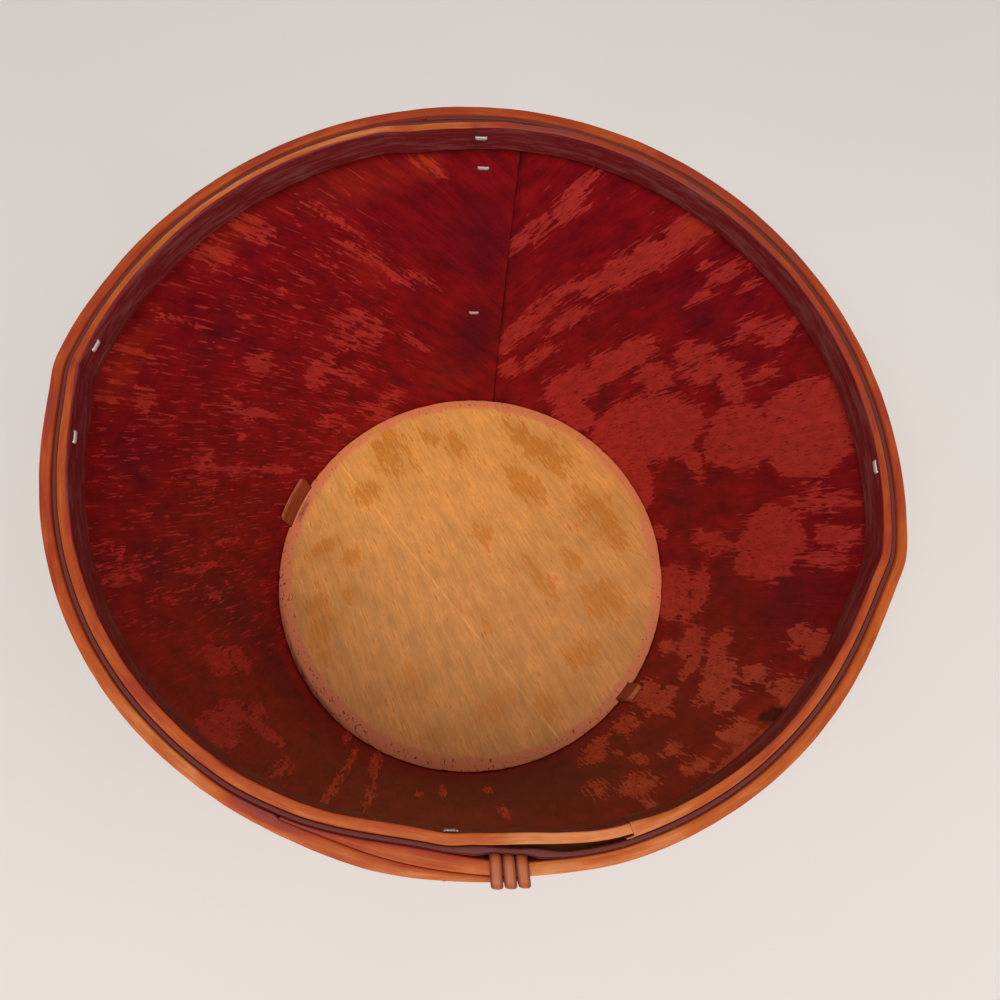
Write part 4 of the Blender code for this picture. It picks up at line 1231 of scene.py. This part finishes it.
def times(tree, first, second, **settings):
    """One value times another."""
    return put(tree, "Math", {0: first, 1: second}, operation="MULTIPLY", **settings)


def added(tree, base, *weighted):
    """The base plus each pattern times its weight."""
    for pattern, weight in weighted:
        base = put(tree, "Math", {0: pattern, 1: weight, 2: base}, operation="MULTIPLY_ADD")
    return base


def mapped(tree, value, start, end, low=0.0, high=1.0, kind="LINEAR"):
    """Low where the value is at the start, high at the end, and level beyond both."""
    limits = {"From Min": start, "From Max": end, "To Min": low, "To Max": high}
    return put(tree, "MapRange", {"Value": value, **limits}, interpolation_type=kind)


def from_middle(tree, lath):
    """Distance in mm from the middle line of the flat wood."""
    return put(tree, "Math", {0: put(tree, "SeparateXYZ", {0: lath})}, operation="ABSOLUTE")


def laid_over(tree, share, under, over):
    """One colour laid over another by this share."""
    return put(tree, "Mix", {0: share, 6: under, 7: over}, out=2, data_type="RGBA")


def shaded(tree, colour, amount):
    """The colour made darker or lighter by a pattern round 1."""
    return put(tree, "Mix", {0: 1.0, 6: colour, 7: amount}, out=2, data_type="RGBA", blend_type="MULTIPLY")


def join(tree, colour, roughness, height, strength, distance):
    """Links the patterns to the shader, the height as a bump, and returns the shader's inputs."""
    normal = put(tree, "Bump", {"Strength": strength, "Distance": distance, "Height": height})
    inputs = tree.nodes["Principled BSDF"].inputs
    for name, value in (("Base Color", colour), ("Roughness", roughness), ("Normal", normal)):
        tree.links.new(value, inputs[name])
    return inputs


def new_finish(name):
    """A material, its tree, and the outputs that its patterns read: flat wood in mm, and three marks."""
    finish = bpy.data.materials.new(name)
    finish.use_nodes = True
    tree = finish.node_tree
    lath = put(tree, "Attribute", out=1, attribute_name="lath")
    marks = put(tree, "Attribute", out=1, attribute_name="marks")
    return finish, tree, lath, put(tree, "SeparateXYZ", {0: marks}).node.outputs


def stained_birch_veneer():
    """Rotary-cut birch veneer, brushed with a red spirit stain and rubbed bare in places."""
    finish, tree, lath, (bare, glow, soil_and_shade) = new_finish("stained_birch_veneer")
    shades = colours()
    # Pores and scratches are a few tenths of a mm wide, drawn 1 mm wide and 20 mm long so that they show
    streaks = wood_noise(tree, lath, (0.9, 0.05, 0.6), 3.0, 0.6, 0.3)
    # The stain took in clouds of 10 to 30 mm, drawn out along the grain
    clouds = wood_noise(tree, lath, (0.13, 0.05, 0.1), 5.0, 0.65)
    # Worn edges are ragged in lobes 3 mm wide, and short flecks are where single fibres lifted off
    lobes = wood_noise(tree, lath, (0.34, 0.11, 0.2), 3.0, 0.6, 0.4)
    flecks = wood_noise(tree, lath, (1.5, 0.22, 1.0))
    # Scratches 1 mm wide and 10 mm long
    scratch = wood_noise(tree, lath, (0.9, 0.08, 0.3), 1.5, 0.5, 0.2)
    torn = added(tree, bare, (clouds, 1.2), (lobes, 1.6), (streaks, 0.8), (flecks, 0.5))
    torn = mapped(tree, torn, 2.10, 2.24, kind="SMOOTHSTEP")
    lifted = mapped(tree, added(tree, scratch, (bare, 0.45)), 0.49, 0.56, kind="SMOOTHSTEP")
    worn = times(tree, put(tree, "Math", {0: torn, 1: lifted}, operation="MAXIMUM"), 0.92)
    dark_fleck = mapped(tree, flecks, 0.40, 0.33, 0.0, 0.8, "SMOOTHSTEP")
    # The front of the sheet is browner, fading to red 150 mm to either side: partly the veneer's own tone,
    # partly painted warm light bounced from the board
    browned_and_bounce_lit = mapped(tree, from_middle(tree, lath), 150.0, 60.0, kind="SMOOTHSTEP")
    stain = put(tree, "ValToRGB", {0: clouds}, stops=((0.32, shades.stain), (0.70, shades.stain_thin)))
    stain = laid_over(tree, mapped(tree, glow, 0.0, -1.0, 0.0, 0.85), stain, shades.stain_deep)
    orange = mapped(tree, glow, 0.0, 2.0, 0.0, 1.6)
    stain = laid_over(tree, times(tree, orange, clouds), stain, shades.glow)
    stain = laid_over(tree, times(tree, browned_and_bounce_lit, 0.03), stain, shades.browned_and_bounce_lit)
    stain = shaded(tree, stain, mapped(tree, streaks, 0.3, 0.7, 0.82, 1.16))
    rubbed = laid_over(tree, orange, shades.worn, shades.glow)
    rubbed = laid_over(tree, browned_and_bounce_lit, rubbed, shades.browned_and_bounce_lit)
    rubbed = shaded(tree, rubbed, mapped(tree, lobes, 0.3, 0.7, 0.78, 1.15))
    rubbed = laid_over(tree, dark_fleck, rubbed, stain)
    colour = laid_over(tree, worn, stain, rubbed)
    # Soil, and painted shade under the inner hoop and by the lashing
    dirt_and_shade = put(tree, "Math", {0: soil_and_shade, 1: 1.0}, operation="MINIMUM")
    colour = laid_over(tree, dirt_and_shade, colour, shades.soot_and_shade)
    colour = laid_over(tree, mapped(tree, soil_and_shade, 1.2, 1.7), colour, shades.cut_edge)
    satin = mapped(tree, worn, 0.0, 1.0, 0.46, 0.62)
    inputs = join(tree, colour, satin, added(tree, streaks, (worn, -0.4)), 0.35, 0.0004)
    inputs["Specular IOR Level"].default_value = 0.08
    return finish


def riven_ash_hoop():
    """Riven ash strip, stained red and then rubbed to bare orange wood on its edges."""
    finish, tree, lath, (edge, red, soil_and_shade) = new_finish("riven_ash_hoop")
    shades = colours()
    # Ash pores are 0.3 mm wide in long rows, drawn 0.7 mm wide
    pores = wood_noise(tree, lath, (0.035, 1.4, 1.4), 3.0, 0.6)
    clouds = wood_noise(tree, lath, (0.03, 0.2, 0.2), 4.0, 0.6)
    bare = mapped(tree, added(tree, edge, (clouds, 0.9), (pores, 0.5)), 0.95, 1.35, kind="SMOOTHSTEP")
    # Painted sheen: grey streaks 20 mm long on the stained faces
    streaky = wood_noise(tree, lath, (0.06, 0.55, 0.5), 3.0, 0.65)
    face = laid_over(tree, pores, shades.hoop_face, shades.stain)
    face = laid_over(tree, mapped(tree, streaky, 0.46, 0.66, 0.0, 0.6), face, shades.hoop_grey_sheen)
    tint = added(tree, red, (clouds, 0.9), (streaky, 0.5))
    tint = put(tree, "Math", {0: tint, 1: 0.7}, operation="SUBTRACT")
    colours_by_tint = (shades.hoop_pale, shades.hoop_edge, shades.hoop_red, shades.hoop_mauve)
    wood = put(tree, "ValToRGB", {0: tint}, stops=tuple(zip((0.0, 0.35, 0.7, 1.0), colours_by_tint)))
    wood = shaded(tree, wood, mapped(tree, pores, 0.3, 0.7, 0.80, 1.12))
    colour = laid_over(tree, soil_and_shade, laid_over(tree, bare, face, wood), shades.soot_and_shade)
    inputs = join(tree, colour, mapped(tree, pores, 0.0, 1.0, 0.42, 0.6), pores, 0.5, 0.0004)
    inputs["Specular IOR Level"].default_value = 0.15
    return finish


def planed_basswood():
    """Planed basswood left bare: fine even grain, ragged amber stains, a reddened border and dark pits."""
    finish, tree, lath, (amber, border, soil_and_shade) = new_finish("planed_basswood")
    shades = colours()
    # Growth lines lie about 1 mm apart
    grain = wood_noise(tree, lath, (0.035, 1.0, 0.7), 4.0, 0.7, 0.4)
    # Stains end raggedly: teeth 2 mm wide along the grain
    ragged = wood_noise(tree, lath, (0.11, 0.55, 0.5), 5.0, 0.7)
    # Clouds of 10 mm where the wood took up more or less dirt
    clouds = wood_noise(tree, lath, (0.055, 0.11, 0.1), 5.0, 0.7)
    # Saw and plane marks cross the grain in bands about 25 mm wide
    chatter = wood_noise(tree, lath, (0.06, 0.006, 0.0))
    # Painted light: the far side, which the light reaches more, is drawn more golden
    where = put(tree, "TexCoord", out=3)
    away = put(tree, "SeparateXYZ", {0: where}, out=1)
    wood = laid_over(tree, mapped(tree, away, -0.03, 0.07), shades.board, shades.board_gold_lit)
    stained = added(tree, amber, (ragged, 5.0), (clouds, 5.0))
    stained = mapped(tree, stained, 5.1, 5.7, 0.0, 0.9, "SMOOTHSTEP")
    wood = laid_over(tree, stained, wood, shades.board_amber)
    # Brown flecks where single fibres lifted, 0.5 mm wide and 4 mm long
    flecks = added(tree, wood_noise(tree, lath, (0.16, 1.3, 1.0), 2.0, 0.6), (clouds, 0.5))
    wood = laid_over(tree, mapped(tree, flecks, 0.86, 0.98, 0.0, 0.7), wood, shades.hoop_edge)
    # A line scored across the board, 0.8 mm wide
    score = put(tree, "VectorMath", {0: where, 1: (0.783, 0.623, 0.0)}, out=1, operation="DOT_PRODUCT")
    score = put(tree, "Math", {0: score, 1: 0.0183}, operation="ADD")
    score = put(tree, "Math", {0: score}, operation="ABSOLUTE")
    wood = shaded(tree, wood, mapped(tree, score, 0.0002, 0.0007, 1.2, 1.0))
    # Painted light: the near side, which lies in the front wall's shade, is drawn paler
    wood = shaded(tree, wood, mapped(tree, away, -0.09, -0.02, 1.14, 1.0))
    patterns = (grain, 0.88, 1.08), (clouds, 0.84, 1.12), (ragged, 0.92, 1.06), (chatter, 0.96, 1.04)
    for pattern, low, high in patterns:
        wood = shaded(tree, wood, mapped(tree, pattern, 0.35, 0.65, low, high))
    edge = mapped(tree, added(tree, border, (clouds, 1.6), (ragged, 1.6)), 1.95, 2.3, 0.0, 0.85)
    wood = laid_over(tree, edge, wood, shades.board_border)
    # Torn fibres and pits, 0.5 to 2 mm long, are crowded along the border
    torn = wood_noise(tree, lath, (0.45, 0.8, 0.6), 3.0, 0.6)
    pit = mapped(tree, added(tree, torn, (border, 0.14)), 0.74, 0.78, 0.0, 0.8)
    wood = laid_over(tree, pit, wood, shades.soot_and_shade)
    # The groove and the front left drawn darker, and painted contact shade at the very edge
    dirt_and_shade = times(tree, times(tree, soil_and_shade, ragged), 1.5, use_clamp=True)
    colour = laid_over(tree, dirt_and_shade, wood, shades.hoop_face)
    height = put(tree, "Math", {0: grain, 1: pit}, operation="SUBTRACT")
    inputs = join(tree, colour, mapped(tree, stained, 0.0, 1.0, 0.62, 0.5), height, 0.25, 0.0003)
    inputs["Specular IOR Level"].default_value = 0.35
    return finish


def reddened_slip_wood():
    """A split slip of the wall's own wood: stained on its faces, with pale broken edges."""
    finish, tree, lath, (edge, _, soil_and_shade) = new_finish("reddened_slip_wood")
    shades = colours()
    fibres = wood_noise(tree, lath, (0.12, 1.6, 1.6), 3.0, 0.6)
    colour = laid_over(tree, fibres, shades.hoop_red, shades.hoop_edge)
    rough = mapped(tree, times(tree, edge, fibres), 0.3, 0.6, 0.0, 0.55)
    colour = laid_over(tree, rough, colour, shades.board_border)
    colour = shaded(tree, colour, mapped(tree, fibres, 0.3, 0.7, 0.66, 1.08))
    colour = laid_over(tree, soil_and_shade, colour, shades.soot_and_shade)
    join(tree, colour, mapped(tree, fibres, 0.0, 1.0, 0.6, 0.78), fibres, 0.6, 0.0004)
    return finish


def split_cane():
    """Split cane with its glossy bark outwards: long fibres, painted highlights low on the turns and painted
    shade along their edges.
    """
    finish, tree, lath, _ = new_finish("split_cane")
    shades = colours()
    # Cane fibres are 0.3 mm wide
    fibres = wood_noise(tree, lath, (2.6, 0.12, 1.0), 3.0, 0.6)
    bark = shaded(tree, shades.cane, mapped(tree, fibres, 0.3, 0.7, 0.8, 1.14))
    patches = wood_noise(tree, lath, (0.4, 0.25, 0.4))
    colour = laid_over(tree, mapped(tree, patches, 0.45, 0.75, 0.0, 0.15), bark, shades.hoop_face)
    # Painted highlight: the turns are drawn pale low on their outer bend, where they stand out furthest; over
    # the hoop's top edge they are drawn darker red-brown
    height = put(tree, "SeparateXYZ", {0: put(tree, "TexCoord", out=3)}, out=2)
    colour = laid_over(tree, mapped(tree, height, 0.188, 0.182, 0.0, 0.8), colour, shades.cane_pale_highlight)
    colour = laid_over(tree, mapped(tree, height, 0.189, 0.1925, 0.0, 0.5), colour, shades.hoop_red)
    # Painted shade: the strips' edges, 1 mm and more from their middle line, are drawn dark so that each turn
    # looks round
    side = mapped(tree, from_middle(tree, lath), 0.7, 1.8, 0.0, 0.85)
    colour = laid_over(tree, side, colour, shades.hoop_face)
    inputs = join(tree, colour, mapped(tree, patches, 0.0, 1.0, 0.3, 0.5), fibres, 0.5, 0.0003)
    inputs["Specular IOR Level"].default_value = 0.25
    return finish


def tinned_steel():
    """Tinned steel wire, dulled and spotted with brown where the tin has gone."""
    known = bpy.data.materials.get("tinned_steel")
    if known:
        return known
    finish, tree, lath, (thinned, _, _) = new_finish("tinned_steel")
    shades = colours()
    spots = put(tree, "TexNoise", {"Vector": lath, "Scale": 1.3, "Detail": 3.0, "Roughness": 0.6})
    # Legs and tips, drawn thinner than the crowns, have rusted dark; the front staple's thinner crown gets
    # painted shade this way
    rust = mapped(tree, added(tree, spots, (thinned, 1.6)), 0.6, 0.85, 0.0, 0.95)
    colour = laid_over(tree, rust, shades.wire, shades.hoop_face)
    inputs = join(tree, colour, mapped(tree, spots, 0.3, 0.7, 0.28, 0.6), spots, 0.3, 0.0002)
    inputs["Metallic"].default_value = 0.65
    return finish


def seamless_paper():
    """Pale seamless paper for the studio floor, matt and very slightly uneven in tone."""
    finish = bpy.data.materials.new("seamless_paper")
    finish.use_nodes = True
    tree = finish.node_tree
    fibre = put(tree, "TexNoise", {"Vector": put(tree, "TexCoord", out=3), "Scale": 4.0, "Detail": 2.0})
    colour = shaded(tree, studio().floor, mapped(tree, fibre, 0.3, 0.7, 0.985, 1.015))
    inputs = tree.nodes["Principled BSDF"].inputs
    tree.links.new(colour, inputs["Base Color"])
    inputs["Roughness"].default_value = 0.9
    inputs["Specular IOR Level"].default_value = 0.2
    return finish


def add_lamp(name, place_at, size, power):
    """A large soft lamp aimed at the basket."""
    bpy.ops.object.light_add(type="AREA", location=place_at)
    lamp = bpy.context.object
    lamp.name = lamp.data.name = name
    lamp.data.shape = "DISK"
    lamp.data.size = size
    lamp.data.energy = power
    lamp.rotation_euler = (Vector(LAMP_AIM) - Vector(place_at)).to_track_quat("-Z", "Y").to_euler()


def make_stage():
    """Floor, even light, two soft lamps and the camera, all as plain as a studio's."""
    bpy.ops.object.select_all(action="DESELECT")
    bpy.ops.mesh.primitive_plane_add(size=studio().floor_size, location=(0, 0, -FLOOR_DROP))
    floor = bpy.context.object
    floor.name = floor.data.name = "studio_floor"
    floor.data.materials.append(seamless_paper())
    world = bpy.data.worlds.new("studio_light")
    bpy.context.scene.world = world
    world.use_nodes = True
    sky = world.node_tree.nodes["Background"]
    sky.inputs["Color"].default_value = linear("#fffdfa")
    sky.inputs["Strength"].default_value = studio().ambient
    add_lamp("key_lamp", *KEY_LAMP, studio().key_power)
    add_lamp("fill_lamp", *FILL_LAMP, studio().fill_power)
    bpy.ops.object.camera_add(location=CAMERA_PLACE, rotation=(math.radians(CAMERA_TILT), 0.0, 0.0))
    camera = bpy.context.object
    camera.name = camera.data.name = "photo_camera"
    camera.data.sensor_width = CAMERA_SENSOR
    camera.data.lens = CAMERA_LENS
    camera.data.clip_start = 0.01
    bpy.context.scene.camera = camera
    bpy.context.scene.view_settings.view_transform = "Standard"


class BuildStep:
    """What every building operator does: it runs its own function."""

    def execute(self, context):
        self.build()
        return {"FINISHED"}


class BASKET_OT_make_wall(BuildStep, Operator):
    """Rolls the stained veneer into the basket's wall"""

    bl_idname = "basket.make_wall"
    bl_label = "Wall"
    build = staticmethod(make_wall)


class BASKET_OT_make_board(BuildStep, Operator):
    """Turns the round bottom board"""

    bl_idname = "basket.make_board"
    bl_label = "Board"
    build = staticmethod(make_board)


class BASKET_OT_make_hoops(BuildStep, Operator):
    """Bends the outer and inner hoops round the rim"""

    bl_idname = "basket.make_hoops"
    bl_label = "Hoops"
    build = staticmethod(make_hoops)


class BASKET_OT_make_lashing(BuildStep, Operator):
    """Winds the cane round the outer hoop's lap"""

    bl_idname = "basket.make_lashing"
    bl_label = "Lashing"
    build = staticmethod(make_lashing)


class BASKET_OT_make_keys(BuildStep, Operator):
    """Wedges the two slips between board and wall"""

    bl_idname = "basket.make_keys"
    bl_label = "Keys"
    build = staticmethod(make_keys)


class BASKET_OT_make_staples(BuildStep, Operator):
    """Drives and clinches the wire staples"""

    bl_idname = "basket.make_staples"
    bl_label = "Staples"
    build = staticmethod(make_staples)


class BASKET_OT_make_nails(BuildStep, Operator):
    """Drives the nails through the wall's foot"""

    bl_idname = "basket.make_nails"
    bl_label = "Nails"
    build = staticmethod(make_nails)


class BASKET_OT_make_stage(BuildStep, Operator):
    """Sets up the floor, light and camera"""

    bl_idname = "basket.make_stage"
    bl_label = "Studio"
    build = staticmethod(make_stage)


OPERATORS = (
    BASKET_OT_make_wall,
    BASKET_OT_make_board,
    BASKET_OT_make_hoops,
    BASKET_OT_make_lashing,
    BASKET_OT_make_keys,
    BASKET_OT_make_staples,
    BASKET_OT_make_nails,
    BASKET_OT_make_stage,
)


class BASKET_PT_panel(Panel):
    """Sizes, colours and building steps of the basket"""

    bl_label = "Veneer Basket"
    bl_idname = "BASKET_PT_panel"
    bl_space_type = "VIEW_3D"
    bl_region_type = "UI"
    bl_category = "Basket"

    def draw(self, context):
        for step in OPERATORS:
            self.layout.operator(step.bl_idname)
        scene = context.scene
        for group in (scene.basket_sizes, scene.basket_colours, scene.basket_studio):
            box = self.layout.box()
            for name in group.__annotations__:
                box.prop(group, name)


GROUPS = (
    ("basket_sizes", BasketSizes),
    ("basket_colours", BasketColours),
    ("basket_studio", StudioSettings),
)


def register():
    """Makes the settings, operators and panel known."""
    for name, group in GROUPS:
        bpy.utils.register_class(group)
        setattr(bpy.types.Scene, name, PointerProperty(type=group))
    for made in (*OPERATORS, BASKET_PT_panel):
        bpy.utils.register_class(made)


def unregister():
    """Takes them away again."""
    for made in reversed((*OPERATORS, BASKET_PT_panel)):
        bpy.utils.unregister_class(made)
    for name, group in reversed(GROUPS):
        delattr(bpy.types.Scene, name)
        bpy.utils.unregister_class(group)


def main():
    """Builds every piece in turn."""
    register()
    bpy.ops.basket.make_wall()
    bpy.ops.basket.make_board()
    bpy.ops.basket.make_hoops()
    bpy.ops.basket.make_lashing()
    bpy.ops.basket.make_keys()
    bpy.ops.basket.make_staples()
    bpy.ops.basket.make_nails()
    bpy.ops.basket.make_stage()
    bpy.context.view_layer.update()


if __name__ == "__main__":
    main()
